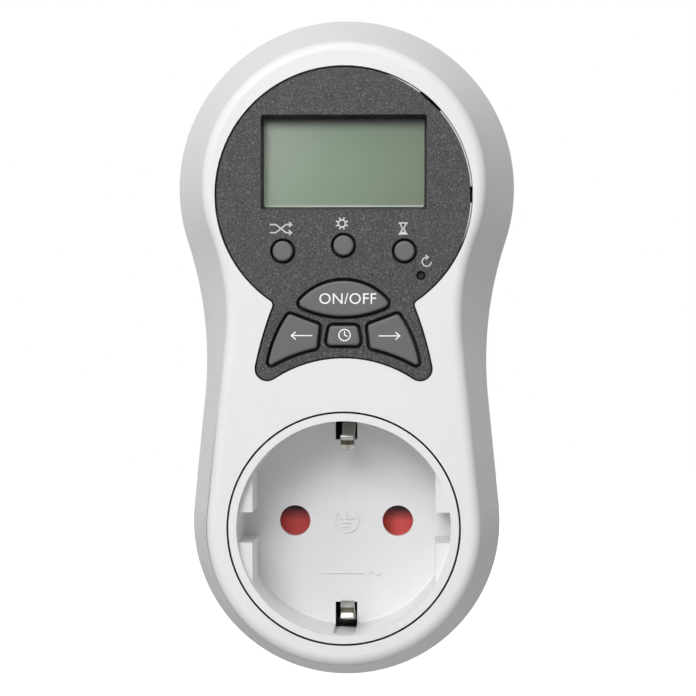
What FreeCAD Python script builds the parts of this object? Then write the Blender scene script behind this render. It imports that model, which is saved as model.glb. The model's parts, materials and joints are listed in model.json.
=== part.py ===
import FreeCAD, Part
import math
import os

# Plug-in timer with a round earthed socket. All sizes are in millimetres.
# X is right, Y runs back to the wall and Z is up.
# The origin is the middle of the plug's end face, between the roots of its pins.

V = FreeCAD.Vector

over = 1.0                  # how far a cutting shape reaches past what it cuts

# Body
pin_pitch = 19.0            # between the two pins, and between the two holes
pin_r = 2.4
pin_length = 19.0
pin_tip = 1.0               # rounding of a pin's end
collar_r = 2.6              # a pin's collar, in the plug's end wall
spigot_length = 17.0        # the plug, from the body's back to its end face
front_depth = 17.5          # front face back to the line where the shells meet
top_height = 61.3           # socket axis up to the middle of the upper round
flank_angle = 5.7           # lean of the straight flanks, in degrees
face_ring = 4.0             # the face's lower round, beyond the socket cup
face_waist_in = 3.4         # half the face's waist is this much less than its lower round
low_spread = 3.8            # how much wider the body is at the seam than at the face
top_spread = 5.4
waist_spread = 4.7
rear_inset = 1.2            # how much smaller the outline is at the back
seam_step = 0.25            # the rear shell stands this far inside the front one
wall = 1.8
face_wall = 1.8
back_wall = 2.2
block_room = 3.8            # for the wires, between the contact block and the back wall
face_edge_r = 1.9
face_land = 0.1             # square part of the face's side, between its rounding and the band
rear_edge_r = 3.0

# Housing screws
boss_r = 2.6
rear_boss_r = 3.6
boss_from_wall = 5.7        # upper boss axes, inside the widest outline
low_boss_from_wall = 5.1
top_boss_angle = 50.0       # from straight up, about the upper round's middle
low_boss_angle = 45.0       # from straight down, about the socket axis
screw_r = 1.25
screw_head_r = 2.4
screw_head_h = 1.8
screw_grip = 8.5            # the head lies this far behind the seam
screw_length = 16.0
screw_play = 0.05
screw_gap = 0.2             # around a screw in its clear hole
pilot_spare = 0.5           # hole left in front of a screw's tip
cross_half = 1.5            # half the length of a head's cross recess
cross_t = 0.6
cross_depth = 1.0

# Plug
spigot_play = 0.3           # between the plug's round and a socket's recess
spigot_bore_r = 14.0
spigot_floor = 3.0
guide_play = 0.25           # between the plug's side flats and a socket's guides
guide_rib = 4.4             # rib left standing in the middle of a flat
earth_groove_width = 5.2
earth_groove_depth = 2.9
groove_land = 1.2           # from the groove's end to the end face
groove_end_gap = 0.4
earth_strip_width = 4.0
earth_strip_t = 0.8
earth_strip_rise = 0.9      # how deep the strip lies under the plug's round
earth_end_r = 0.8
shank_r = 2.0
lug_depth = 6.0             # the live pin's solder lug, in front of the end face
lug_t = 0.8
lug_half = 2.0
lug_gap = 0.54              # between the lug's corner and the plug's bore

# Socket
recess_r = 19.1
recess_depth = 17.5
recess_floor_r = 0.4        # rounding between the recess wall and floor
cup_wall = 1.4
cup_gap = 0.3               # between the cup's rim and the front shell
floor_t = 2.0
hole_r = 2.83
guide_x = 16.35             # guide blocks, from the axis
guide_drop = 2.0            # guide blocks, below the rim
guide_notch = 5.5
earth_slot_width = 4.0
earth_slot_in = 4.1         # from the recess wall towards the axis
earth_slot_out = 0.75       # and away from it, which leaves the cup a thin outer wall
earth_slot_top = 3.3
lug_width = 6.0
lug_out = 1.1
lug_h = 1.2

# Earth clips, as distance inside the recess wall and depth below the front face
clip_width = 2.4
clip_t = 0.5
clip_tip = (2.7, 4.0)
clip_nose = (5.5, 7.0)
clip_knee = (1.1, 17.0)
clip_foot_depth = 24.2
clip_bend_r = 0.9
clip_gap = 0.3
clip_off = 0.5              # a clip leans this far to the right in its slot
strap_width = 5.0
strap_t = 0.8
strap_ear = 10.5            # forward reach of the strap's turned ends

# Contacts and shutter
block_half = 16.5
block_low = 9.0             # block's lower edge, below the axis
block_high = 15.0
block_back = 12.5           # block's back, behind the cup's floor
prop_r = 1.5                # posts that press the block against the cup
prop_in = 2.0
shutter_half = 13.3
shutter_low = 3.3
shutter_high = 5.0
shutter_t = 3.9
shutter_gap = 0.3
shutter_ramp = 3.3
shutter_ramp_half = 3.5
spring_coil_r = 1.5
spring_wire_r = 0.18
spring_turns = 6
spring_ceiling = 14.0       # top of the shutter's pocket
peg_r = 0.9
peg_h = 1.6
cell_half = 4.0
web_t = 1.0                 # wall between shutter and contacts
web_play = 0.3              # around a pin's hole in that wall, beyond the cup's hole
leaf_gap = 2.3
leaf_t = 0.5
leaf_half = 2.5
leaf_front_gap = 0.4
bead_r = 0.45               # rolled bead near a leaf's front, that grips the pin
bead_in = 2.0
base_t = 0.6
base_play = 0.7             # behind the end of an inserted pin
tab_width = 1.6
tab_gap = 0.23              # between the tab's corner and the plug's bore

# Control panel, in the plane of the front
panel_drop = 2.0            # panel circle's middle, below the upper round's middle
panel_margin = 2.7          # between the panel and the face's upper round
panel_gap = 0.15
panel_edge = 0.2            # chamfer round the panel's face
panel_sink = 0.3            # panel's face, behind the shell's face
panel_t = 2.5
panel_lip = 0.5
neck_half = 12.3
neck_r = 0.9
tail_half = 16.5
tail_drop = 36.1
tail_swell = 0.6
tail_arch = 7.2
ear_r = 2.1
notch_depth = 0.3
notches = ((47.0, 4.8), (0.0, 2.8))     # angle and length of the clip notches

# Display
display_rise = 5.8          # display's middle, above the panel circle's middle
display_width = 29.5
display_height = 16.9
display_corner_r = 0.5
display_bevel_x = 0.4
display_bevel_z = 0.6
window_t = 1.0
cell_width = 31.0
cell_height = 18.4
cell_t = 2.3
tray_wall = 0.9
tray_play = 0.15
tray_clear = 1.99           # between the tray's corners and the shell's upper round
strip_t = 1.4
strip_in = 1.5              # the rubber connector's end, inside the cell's end

# Keys: the round ones are placed right of and above the panel circle's middle, and the
# lower ones above the tail's corners
key_gap = 0.45
key_rim = 0.15              # chamfer round a key's opening
key_stand = 0.8             # how far a key stands out of the panel
key_edge_r = 0.4
key_flange = 0.25           # how far a key's rim reaches past its hole
key_flange_t = 0.5
key_flange_gap = 0.1
key_travel = 0.5
round_key_r = 1.78
round_key_gap = 0.36
round_keys = (("key_random", -10.8, -10.0), ("key_set", 0.0, -9.0), ("key_countdown", 10.8, -10.0))
lens_half = 8.3
lens_rise = 16.6
lens_top = 4.2
lens_bottom = 2.04
lens_tip_r = 0.8
time_top_half = 2.4
time_bottom_half = 2.95
time_top_rise = 12.85
time_bottom_rise = 9.4
time_swell = 0.08
time_corner_r = 0.7
wing_tip_r = 0.45
wing_corner_r = 0.6
wing_tip = (-13.43, 5.51)
wing_low = (-4.77, 8.9)
wing_high = (-4.29, 12.95)
wing_top = (-9.69, 14.97)
wing_arch = 0.43
wing_swell = 0.6
wing_stem = (-8.3, 10.5)
reset_place = (13.7, -14.3)
reset_hole_r = 0.8
reset_r = 0.5
reset_sink = 1.2            # the pin's end, behind the panel's face
plunger_r = 0.9
plunger_gap = 0.3
switch_size = 4.6
switch_h = 3.4
reset_switch_r = 1.7

# Control board
control_depth = 8.2         # its front, behind the front face
control_t = 1.2
control_margin = 1.2        # inside the panel's outline
panel_posts = ((8.5, 18.0), (17.3, -6.8))
post_r = 1.6
small_screw_r = 0.7
small_head_r = 1.4
small_head_h = 1.0
small_screw_length = 4.5
battery_r = 7.75
battery_h = 5.2
battery_edge_r = 0.8
battery_place = (7.0, 8.2)
chip_r = 4.5
chip_h = 1.3
chip_place = (-9.0, -7.5)
crystal_r = 1.0
crystal_length = 6.0
crystal_place = (4.0, -10.0)
crystal_gap = 0.05
crystal_lead_r = 0.15
crystal_lead = 1.5

# Power board and what stands on it, placed right of and above its lower edge's middle
power_width = 36.0
power_height = 45.0
power_drop = 34.3           # its lower edge, below the upper round's middle
power_t = 1.6
standoff = 2.8
standoff_r = 2.0
standoff_in = 2.6
relay_size = (12.7, 29.0, 15.7)
relay_place = (-16.5, 11.0)
relay_edge_r = 0.5
film_size = (17.5, 8.5, 14.0)
film_place = (-0.5, 8.6)
film_edge_r = 0.8
varistor_r = 5.0
varistor_t = 4.0
varistor_place = (2.0, 24.4)
smoothing_r = 4.2
smoothing_h = 12.0
smoothing_place = (12.4, 24.8)
smoothing_edge_r = 0.5
can_groove_rise = 1.6       # rolled groove, in front of the board
can_groove_width = 0.6
can_groove_depth = 0.3
resistor_r = 1.7
resistor_length = 7.0
resistor_places = ((1.5, 32.2), (1.5, 37.2))
diode_r = 1.0
diode_length = 4.4
diode_places = ((7.6, 32.8), (10.0, 32.8), (12.4, 32.8), (14.8, 32.8))
fuse_r = 1.8
fuse_length = 10.0
fuse_place = (3.0, 41.8)
lead_r = 0.35
lead_gap = 0.6              # under a part that stands on its leads
ribbon_width = 8.0
ribbon_t = 0.9
ribbon_x = -5.0
ribbon_bend_r = 2.5
ribbon_rise = 1.2           # the ribbon's end on the power board, above the wires' row
ribbon_step = 3.2           # how much higher its other end is
ribbon_run = 3.0            # half the depth of its sloping stretch
wire_r = 0.95
wire_bend_r = 2.2
wire_row = 4.0              # where the wires leave the board, above its lower edge
wire_out = 5.0              # how far they stand out of it
wire_drop = 8.0
wire_clear = 3.0            # between the block's top and their turn behind it
wire_in = 1.5               # a wire's axis, inside the end of what it is soldered to
line_wire_x = 6.0
load_wire_x = 11.5

# Sizes and planes that follow from the ones above
cup_r = recess_r + cup_wall
tray_half_x = cell_width / 2 + tray_play + tray_wall
tray_half_z = cell_height / 2 + tray_play + tray_wall
tray_corner = math.hypot(tray_half_x, display_rise - panel_drop + tray_half_z)
face_top_r = tray_corner + tray_clear + wall
face_low_r = cup_r + face_ring
face_waist = face_low_r - face_waist_in
low_r = face_low_r + low_spread
top_r = face_top_r + top_spread
waist = face_waist + waist_spread
face_rise = face_edge_r + face_land
panel_r = face_top_r - panel_margin
spigot_r = recess_r - spigot_play
guide_half = guide_x - guide_play
back_y = -spigot_length
body_depth = recess_depth + floor_t + block_back + block_room + back_wall
front_y = back_y - body_depth
seam_y = front_y + front_depth
screw_y = seam_y + screw_grip
inner_back_y = back_y - back_wall
floor_y = front_y + recess_depth
cup_back_y = floor_y + floor_t
block_back_y = cup_back_y + block_back
strap_back_y = block_back_y + strap_t
panel_y = front_y + panel_sink
panel_back_y = panel_y + panel_t
key_y = panel_y - key_stand
flange_y = panel_back_y + key_flange_gap
control_y = front_y + control_depth
control_back_y = control_y + control_t
switch_y = control_y - switch_h
plunger_y = switch_y - key_travel - key_flange_t
power_back_y = inner_back_y - standoff
power_y = power_back_y - power_t
contact_y = floor_y + pin_length + base_play
leaf_x = pin_pitch / 2 + leaf_gap + leaf_t
tab_reach = math.sqrt((spigot_bore_r - tab_gap)**2 - leaf_x**2)
lug_reach = math.sqrt((spigot_bore_r - lug_gap)**2 - (pin_pitch / 2 + lug_half)**2)
knee_r = recess_r - clip_knee[0]
panel_z = top_height - panel_drop
tail_z = panel_z - tail_drop
display_z = panel_z + display_rise
power_z = top_height - power_drop


# Drawing helpers

def block(x0, x1, y0, y1, z0, z1):
    return Part.makeBox(x1 - x0, y1 - y0, z1 - z0, V(x0, y0, z0))


def rod_x(x0, x1, y, z, r):
    return Part.makeCylinder(r, x1 - x0, V(x0, y, z), V(1, 0, 0))


def rod_y(x, z, r, y0, y1):
    return Part.makeCylinder(r, y1 - y0, V(x, y0, z), V(0, 1, 0))


def rod_z(x, y, r, z0, z1):
    return Part.makeCylinder(r, z1 - z0, V(x, y, z0), V(0, 0, 1))


def joined(shapes):
    """One solid from shapes that touch or overlap."""
    return shapes[0].multiFuse(shapes[1:]).removeSplitter() if len(shapes) > 1 else shapes[0]


def at_depth(wire, y):
    return wire.translated(V(0, y, 0))


def plate(wire, y0, y1):
    """The outline, drawn in the plane y = 0, as a plate from y0 to y1."""
    return Part.Face(at_depth(wire, y0)).extrude(V(0, y1 - y0, 0))


def edges_at(shape, y):
    """The edges that lie in the plane at this depth."""
    return [e for e in shape.Edges
            if abs(e.BoundBox.YMin - y) < 1e-4 and abs(e.BoundBox.YMax - y) < 1e-4]


def side_of(corner, following):
    """One side of an outline, as a point on it, its normal, its centre and its radius.

    A straight side has no centre. The radius is negative where the side is hollow.
    """
    x0, z0, swell, _ = corner
    x1, z1 = following[:2]
    start = V(x0, 0, z0)
    chord = V(x1 - x0, 0, z1 - z0)
    out = V(chord.z, 0, -chord.x).normalize()
    if not swell:
        return start, out, None, 0
    radius = (chord.Length**2 / 4 + swell**2) / (2 * swell)
    return start, out, start + chord * 0.5 + out * (swell - radius), radius


def square_to(side, point):
    """The side's outward direction, seen from a point near it."""
    _, out, centre, radius = side
    if centre is None:
        return V(out)
    return (point - centre).normalize() * math.copysign(1, radius)


def past(side, point):
    """How far a point lies outside the side."""
    start, out, centre, radius = side
    if centre is None:
        return (point - start).dot(out)
    return math.copysign(1, radius) * (point - centre).Length - radius


def rounding_centre(before, after, corner):
    """The middle of the arc that rounds a corner and touches both of its sides."""
    x, z, _, radius = corner
    middle = V(x, 0, z)
    for _ in range(12):
        a, b = square_to(before, middle), square_to(after, middle)
        miss_a, miss_b = -radius - past(before, middle), -radius - past(after, middle)
        scale = a.x * b.z - a.z * b.x
        middle += V(miss_a * b.z - miss_b * a.z, 0, a.x * miss_b - b.x * miss_a) / scale
    return middle


def drawn(corners, by=0):
    """A closed outline in the plane y = 0, anticlockwise as seen from the front.

    Each corner is x, z, how far the side after it swells outwards, and its rounding, which
    is negative in an inward corner. The outline is moved out by a distance.
    """
    count = len(corners)
    sides = [side_of(corners[i], corners[(i + 1) % count]) for i in range(count)]
    edges, ends = [], []
    for i, corner in enumerate(corners):
        middle = rounding_centre(sides[i - 1], sides[i], corner)
        reach = corner[3] + by
        first = square_to(sides[i - 1], middle)
        last = square_to(sides[i], middle)
        enter, leave = middle + first * reach, middle + last * reach
        crown = middle + (first + last).normalize() * reach
        edges.append(Part.Arc(enter, crown, leave).toShape())
        ends.append((enter, leave))
    for i in range(count):
        start, end = ends[i][1], ends[(i + 1) % count][0]
        _, out, centre, radius = sides[i]
        if centre is None:
            edges.append(Part.LineSegment(start, end).toShape())
            continue
        toward = out * math.copysign(1, radius)
        crown = centre + toward * abs(radius + by)
        edges.append(Part.Arc(start, crown, end).toShape())
    return Part.Wire(Part.sortEdges(edges)[0])


def path_wire(points, radius):
    """Straight runs joined by tangent arcs, as large as the runs allow."""
    edges = []
    start = points[0]
    for before, corner, after in zip(points, points[1:], points[2:]):
        back, on = before - corner, after - corner
        turn = math.pi - back.getAngle(on)
        room = 0.45 * min(back.Length, on.Length) / math.tan(turn / 2)
        r = min(radius, room)
        cut = r * math.tan(turn / 2)
        back.normalize()
        on.normalize()
        enter, leave = corner + back * cut, corner + on * cut
        inward = (back + on).normalize()
        middle = corner + inward * (r / math.cos(turn / 2) - r)
        edges.append(Part.LineSegment(start, enter).toShape())
        edges.append(Part.Arc(enter, middle, leave).toShape())
        start = leave
    edges.append(Part.LineSegment(start, points[-1]).toShape())
    return Part.Wire(edges)


def swept(points, radius, bend_r):
    """A round rod along the points, with the path it follows."""
    path = path_wire(points, bend_r)
    ring = Part.Wire(Part.makeCircle(radius, points[0], points[1] - points[0]))
    return path.makePipeShell([ring], True, False), path


def tube(points, radius, bend_r):
    """An insulated wire along the points."""
    solid, path = swept(points, radius, bend_r)
    print("wire length %.1f, volume is %.4f of section times length"
          % (path.Length, solid.Volume / (math.pi * radius**2 * path.Length)))
    return solid


def strip(points, thickness, bend_r, x0, x1):
    """A bent strip of constant width: the points are its middle line, all at one x."""
    middle = path_wire([V(x0, p.y, p.z) for p in points], bend_r)
    heading = points[1] - points[0]
    side = V(0, -heading.z, heading.y).normalize() * (thickness / 2)
    start = V(x0, points[0].y, points[0].z)
    edge = Part.LineSegment(start + side, start - side).toShape()
    band = middle.makePipeShell([Part.Wire(edge)], False, False)
    return joined([f.extrude(V(x1 - x0, 0, 0)) for f in band.Faces])


# Outline of the body

def outline(low, top, half_waist, y):
    """Two rounds, straight flanks that touch the lower one, and a hollow waist."""
    lean = math.radians(flank_angle)
    run = (low - half_waist * math.cos(lean)) / math.sin(lean) - top_height
    rise = math.tan(lean / 2)
    c0 = half_waist**2 - top**2 + run**2
    c1 = 2 * (half_waist - top + run * rise)
    hollow_r = 2 * c0 / (math.sqrt(c1**2 - 4 * rise**2 * c0) - c1)
    hollow = V(half_waist + hollow_r, y, top_height + run + rise * hollow_r)
    crown = V(0, y, top_height)
    square = V(math.cos(lean), 0, math.sin(lean))
    flank_low = V(0, y, 0) + square * low
    flank_high = hollow - square * hollow_r
    to_crown = (crown - hollow).normalize()
    hollow_middle = hollow + (to_crown - square).normalize() * hollow_r
    touch = crown - to_crown * top

    def flipped(p):
        return V(-p.x, p.y, p.z)

    return Part.Wire([
        Part.LineSegment(flank_low, flank_high).toShape(),
        Part.Arc(flank_high, hollow_middle, touch).toShape(),
        Part.Arc(touch, crown + V(0, 0, top), flipped(touch)).toShape(),
        Part.Arc(flipped(touch), flipped(hollow_middle), flipped(flank_high)).toShape(),
        Part.LineSegment(flipped(flank_high), flipped(flank_low)).toShape(),
        Part.Arc(flipped(flank_low), V(0, y, -low), flank_low).toShape(),
    ])


def between(first, second):
    return Part.makeLoft([first, second], True, True)


def front_block(inset):
    """The front shell's outer form, or its hollow where inset is the wall.

    The face has a side square to it, and where that ends the sloping band begins.
    """
    rim_y = front_y + face_rise
    rim = outline(face_low_r - inset, face_top_r - inset, face_waist - inset, rim_y)
    band = between(outline(low_r - inset, top_r - inset, waist - inset, seam_y), rim)
    return joined([band, Part.Face(rim).extrude(V(0, front_y - rim_y, 0))])


def rear_block(inset):
    """The rear shell's outer form, or its hollow where inset is the wall."""
    small = inset + seam_step
    end = inset + rear_inset
    return between(
        outline(low_r - small, top_r - small, waist - small, seam_y),
        outline(low_r - end, top_r - end, waist - end, back_y))


def boss_places():
    """The four housing screws, as x and z."""
    high, low = top_r - boss_from_wall, low_r - low_boss_from_wall
    a, b = math.radians(top_boss_angle), math.radians(low_boss_angle)
    return [(side * high * math.sin(a), top_height + high * math.cos(a)) for side in (-1, 1)] + \
           [(side * low * math.sin(b), -low * math.cos(b)) for side in (-1, 1)]


# Outlines on the panel

def panel_outline(by=0):
    neck_z = panel_z - math.sqrt(panel_r**2 - neck_half**2)
    crown = panel_z + panel_r - neck_z
    return drawn([
        (-neck_half, neck_z, tail_swell, -neck_r),
        (-tail_half, tail_z, -tail_arch, ear_r),
        (tail_half, tail_z, tail_swell, ear_r),
        (neck_half, neck_z, crown, -neck_r),
    ], by)


def display_outline(in_x, in_z):
    """Outline of the display's opening, drawn smaller by two insets."""
    half_x, half_z = display_width / 2 - in_x, display_height / 2 - in_z
    return drawn([(x, display_z + z, 0, display_corner_r) for x, z in
                  ((-half_x, -half_z), (half_x, -half_z), (half_x, half_z), (-half_x, half_z))])


def lens_outline(by=0):
    z = tail_z + lens_rise
    return drawn([
        (-lens_half, z, lens_bottom, lens_tip_r),
        (lens_half, z, lens_top, lens_tip_r),
    ], by)


def time_outline(by=0):
    low, high = tail_z + time_bottom_rise, tail_z + time_top_rise
    return drawn([
        (-time_bottom_half, low, 0, time_corner_r),
        (time_bottom_half, low, time_swell, time_corner_r),
        (time_top_half, high, 0, time_corner_r),
        (-time_top_half, high, time_swell, time_corner_r),
    ], by)


def wing_outline(by=0):
    return drawn([
        (wing_tip[0], tail_z + wing_tip[1], -wing_arch, wing_tip_r),
        (wing_low[0], tail_z + wing_low[1], 0, wing_corner_r),
        (wing_high[0], tail_z + wing_high[1], 0, wing_corner_r),
        (wing_top[0], tail_z + wing_top[1], wing_swell, wing_corner_r),
    ], by)


def round_outline(x, z):
    """Outline of a round key, as a function of how far it is moved out."""
    def ring(by=0):
        return Part.Wire(Part.makeCircle(round_key_r + by, V(x, 0, z), V(0, 1, 0)))
    return ring


def mirrored(shape):
    return shape.mirror(V(0, 0, 0), V(1, 0, 0))


# Housing

def make_front_shell():
    outer = front_block(0)
    outer = outer.makeFillet(face_edge_r, edges_at(outer, front_y))
    hollow = front_block(wall)
    reach = 2 * top_r
    keep = block(-reach, reach, front_y + face_wall, seam_y, -reach, top_height + reach)
    shell = outer.cut(hollow.common(keep))
    posts = [rod_y(x, z, boss_r, front_y + face_wall / 2, seam_y) for x, z in boss_places()]
    shell = joined([shell] + [post.common(outer) for post in posts])
    pilots = [rod_y(x, z, screw_r + screw_play, screw_y - screw_length - pilot_spare, seam_y)
              for x, z in boss_places()]
    opening = plate(panel_outline(panel_gap), front_y - over, front_y + 2 * face_wall)
    return shell.cut(pilots + [opening, rod_y(0, 0, cup_r + cup_gap, front_y - over, seam_y)])


def make_rear_shell():
    outer = rear_block(0)
    outer = outer.makeFillet(rear_edge_r, edges_at(outer, back_y))
    reach = 2 * top_r
    keep = block(-reach, reach, seam_y, inner_back_y, -reach, top_height + reach)
    shell = outer.cut(rear_block(wall).common(keep))
    spigot = rod_y(0, 0, spigot_r, inner_back_y, 0)
    bosses = [rod_y(x, z, rear_boss_r, seam_y, inner_back_y).common(outer)
              for x, z in boss_places()]
    stands = [rod_y(x, z, standoff_r, power_back_y, inner_back_y) for x, z in standoff_places()]
    props = [rod_y(x, z, prop_r, block_back_y, inner_back_y) for x, z in prop_places()]
    shell = joined([shell, spigot] + bosses + stands + props)
    cuts = [rod_y(0, 0, spigot_bore_r, inner_back_y - over, -spigot_floor),
            rod_y(0, 0, cup_r + cup_gap, seam_y, cup_back_y + cup_gap)]
    for side in (-1, 1):
        edge = side * (spigot_r + over)
        for low, high in ((guide_rib / 2, spigot_r), (-spigot_r, -guide_rib / 2)):
            x0, x1 = sorted((side * guide_half, edge))
            cuts.append(block(x0, x1, back_y, over, low, high))
        z0, z1 = sorted((side * (spigot_r - earth_groove_depth), edge))
        half = earth_groove_width / 2
        cuts.append(block(-half, half, inner_back_y - over, -groove_land, z0, z1))
        cuts.append(rod_y(side * pin_pitch / 2, 0, collar_r + screw_play, -spigot_floor - over, over))
    for x, z in boss_places():
        cuts.append(rod_y(x, z, screw_head_r + screw_gap, screw_y, back_y + over))
        cuts.append(rod_y(x, z, screw_r + screw_gap, seam_y - over, back_y))
    cuts += [rod_y(x, z, small_screw_r + screw_play, power_back_y, inner_back_y)
             for x, z in standoff_places()]
    return shell.cut(cuts)


def make_housing_screws():
    top_y = screw_y + screw_head_h
    screws = []
    for x, z in boss_places():
        head = rod_y(x, z, screw_head_r, screw_y, top_y)
        head = head.makeFillet(screw_head_h / 3, edges_at(head, top_y))
        cross = [block(x - a, x + a, top_y - cross_depth, top_y, z - b, z + b)
                 for a, b in ((cross_half, cross_t / 2), (cross_t / 2, cross_half))]
        shank = rod_y(x, z, screw_r, screw_y - screw_length, screw_y)
        screws.append(joined([head, shank]).cut(cross))
    return Part.makeCompound(screws)


# Control panel, display and keys

def make_control_panel():
    sheet = plate(panel_outline(), panel_y, panel_back_y)
    sheet = sheet.makeChamfer(panel_edge, edges_at(sheet, panel_y))
    lip = plate(panel_outline(panel_lip), front_y + face_wall, panel_back_y)
    lip = lip.common(front_block(wall + panel_gap))
    posts = [rod_y(x, z, post_r, panel_back_y, control_y) for x, z in post_places()]
    panel = joined([sheet, lip] + posts)
    mouth = at_depth(display_outline(0, 0), panel_y)
    throat = at_depth(display_outline(display_bevel_x, display_bevel_z), panel_back_y)
    wing = plate(wing_outline(key_gap), panel_y - over, panel_back_y + over)
    cuts = [between(mouth, throat), wing, mirrored(wing)]
    for hole in (lens_outline(key_gap), time_outline(key_gap)):
        cuts.append(plate(hole, panel_y - over, panel_back_y + over))
    for shape in (lens_outline, time_outline, wing_outline):
        rim = between(at_depth(shape(key_gap + key_rim), panel_y),
                      at_depth(shape(key_gap), panel_y + key_rim))
        cuts += [rim, mirrored(rim)] if shape is wing_outline else [rim]
    for _, x, rise in round_keys:
        z, radius = panel_z + rise, round_key_r + round_key_gap
        cuts.append(rod_y(x, z, radius, panel_y - over, panel_back_y + over))
        cuts.append(Part.makeCone(radius + key_rim, radius, key_rim, V(x, panel_y, z), V(0, 1, 0)))
    x, z = reset_place[0], panel_z + reset_place[1]
    cuts.append(rod_y(x, z, reset_hole_r, panel_y - over, panel_back_y + over))
    cuts += [rod_y(x, z, small_screw_r + screw_play,
                   control_back_y - small_screw_length, control_y + over)
             for x, z in post_places()]
    for angle, length in notches:
        notch = block(panel_r - notch_depth, panel_r + over, panel_y - over, front_y + face_wall,
                      panel_z - length / 2, panel_z + length / 2)
        notch.rotate(V(0, 0, panel_z), V(0, -1, 0), angle)
        cuts.append(notch)
    return panel.cut(cuts)


def make_key(outline_of, gap, x, z):
    """A cap with a rim behind the panel and a stem that reaches its plunger."""
    cap = plate(outline_of(), key_y, flange_y + key_flange_t)
    cap = cap.makeFillet(key_edge_r, edges_at(cap, key_y))
    rim = plate(outline_of(gap + key_flange), flange_y, flange_y + key_flange_t)
    stem = rod_y(x, z, plunger_r, flange_y + key_flange_t, plunger_y)
    return joined([cap, rim, stem])


def make_plunger(x, z, r):
    return rod_y(x, z, r, plunger_y, switch_y + 2 * key_travel)


def make_switch(x, z, body):
    well = rod_y(x, z, plunger_r + plunger_gap, switch_y, switch_y + 4 * key_travel)
    return body.cut(well)


def key_places():
    """Where each key's stem and switch stand, as name, x and z."""
    places = [(name, x, panel_z + rise) for name, x, rise in round_keys]
    lens_z = tail_z + lens_rise + (lens_top - lens_bottom) / 2
    time_z = tail_z + (time_top_rise + time_bottom_rise) / 2
    x, z = wing_stem[0], tail_z + wing_stem[1]
    return places + [("key_manual", 0.0, lens_z), ("key_time", 0.0, time_z),
                     ("key_left", x, z), ("key_right", -x, z)]


def make_switches():
    half = switch_size / 2
    bodies = [make_switch(x, z, block(x - half, x + half, switch_y, control_y, z - half, z + half))
              for _, x, z in key_places()]
    x, z = reset_place[0], panel_z + reset_place[1]
    bodies.append(make_switch(x, z, rod_y(x, z, reset_switch_r, switch_y, control_y)))
    return Part.makeCompound(bodies)


def make_reset_plunger():
    x, z = reset_place[0], panel_z + reset_place[1]
    pin = rod_y(x, z, reset_r, panel_y + reset_sink, plunger_y)
    foot = rod_y(x, z, plunger_r, plunger_y, switch_y + 2 * key_travel)
    return joined([pin, foot])


def make_window():
    return block(-tray_half_x, tray_half_x, panel_back_y, panel_back_y + window_t,
                 display_z - tray_half_z, display_z + tray_half_z)


def make_cell():
    half_x, half_z = cell_width / 2, cell_height / 2
    return block(-half_x, half_x, panel_back_y + window_t, panel_back_y + window_t + cell_t,
                 display_z - half_z, display_z + half_z)


def strip_boxes(play):
    """The two rubber connectors above and below, between the display cell and the board."""
    half_x = cell_width / 2 - strip_in
    y0 = panel_back_y + window_t + cell_t
    boxes = []
    for side in (-1, 1):
        z = display_z + side * (cell_height / 2 - strip_t)
        boxes.append(block(-half_x - play, half_x + play, y0, control_y,
                           z - strip_t / 2 - play, z + strip_t / 2 + play))
    return boxes


def make_tray():
    inner_x, inner_z = tray_half_x - tray_wall, tray_half_z - tray_wall
    y0 = panel_back_y + window_t
    tray = block(-tray_half_x, tray_half_x, y0, control_y,
                 display_z - tray_half_z, display_z + tray_half_z)
    well = block(-inner_x, inner_x, y0, y0 + cell_t, display_z - inner_z, display_z + inner_z)
    return tray.cut([well] + strip_boxes(screw_play))


# Control board

def post_places():
    return [(side * x, panel_z + rise) for x, rise in panel_posts for side in (-1, 1)]


def make_control_board():
    board = plate(panel_outline(-control_margin), control_y, control_back_y)
    holes = [rod_y(x, z, small_screw_r + screw_play, control_y, control_back_y)
             for x, z in post_places()]
    return board.cut(holes)


def make_battery():
    x, z = battery_place[0], panel_z + battery_place[1]
    can = rod_y(x, z, battery_r, control_back_y, control_back_y + battery_h)
    return can.makeFillet(battery_edge_r, edges_at(can, control_back_y + battery_h))


def make_chip():
    x, z = chip_place[0], panel_z + chip_place[1]
    ball_r = (chip_r**2 + chip_h**2) / (2 * chip_h)
    ball = Part.makeSphere(ball_r, V(x, control_back_y + chip_h - ball_r, z))
    return ball.common(rod_y(x, z, chip_r, control_back_y, control_back_y + chip_h + over))


def make_crystal():
    x, z = crystal_place[0], panel_z + crystal_place[1]
    y = control_back_y + crystal_r + crystal_gap
    pieces = [rod_z(x, y, crystal_r, z, z + crystal_length)]
    for side in (-1, 1):
        root = V(x + side * crystal_r / 2, y, z + 2 * crystal_lead_r)
        turn = V(root.x, y, z - crystal_lead)
        run = [root, turn, V(root.x, control_back_y, turn.z)]
        pieces.append(swept(run, crystal_lead_r, 2 * crystal_lead_r)[0])
    return joined(pieces)


# Power board

def standoff_places():
    side = power_width / 2 - standoff_in
    return [(s * side, z) for z in (power_z + standoff_in, power_z + power_height - standoff_in)
            for s in (-1, 1)]


def make_power_board():
    half = power_width / 2
    board = block(-half, half, power_y, power_back_y, power_z, power_z + power_height)
    return board.cut([rod_y(x, z, small_screw_r + screw_play, power_y, power_back_y)
                      for x, z in standoff_places()])


def boxed(size, place, edge_r):
    """A boxed component that stands on the power board."""
    wide, high, deep = size
    x, z = place[0], power_z + place[1]
    body = block(x, x + wide, power_y - deep, power_y, z, z + high)
    front = edges_at(body, power_y - deep)
    uprights = [e for e in body.Edges if e.BoundBox.YLength > deep / 2]
    return body.makeFillet(edge_r, front + uprights)


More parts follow.
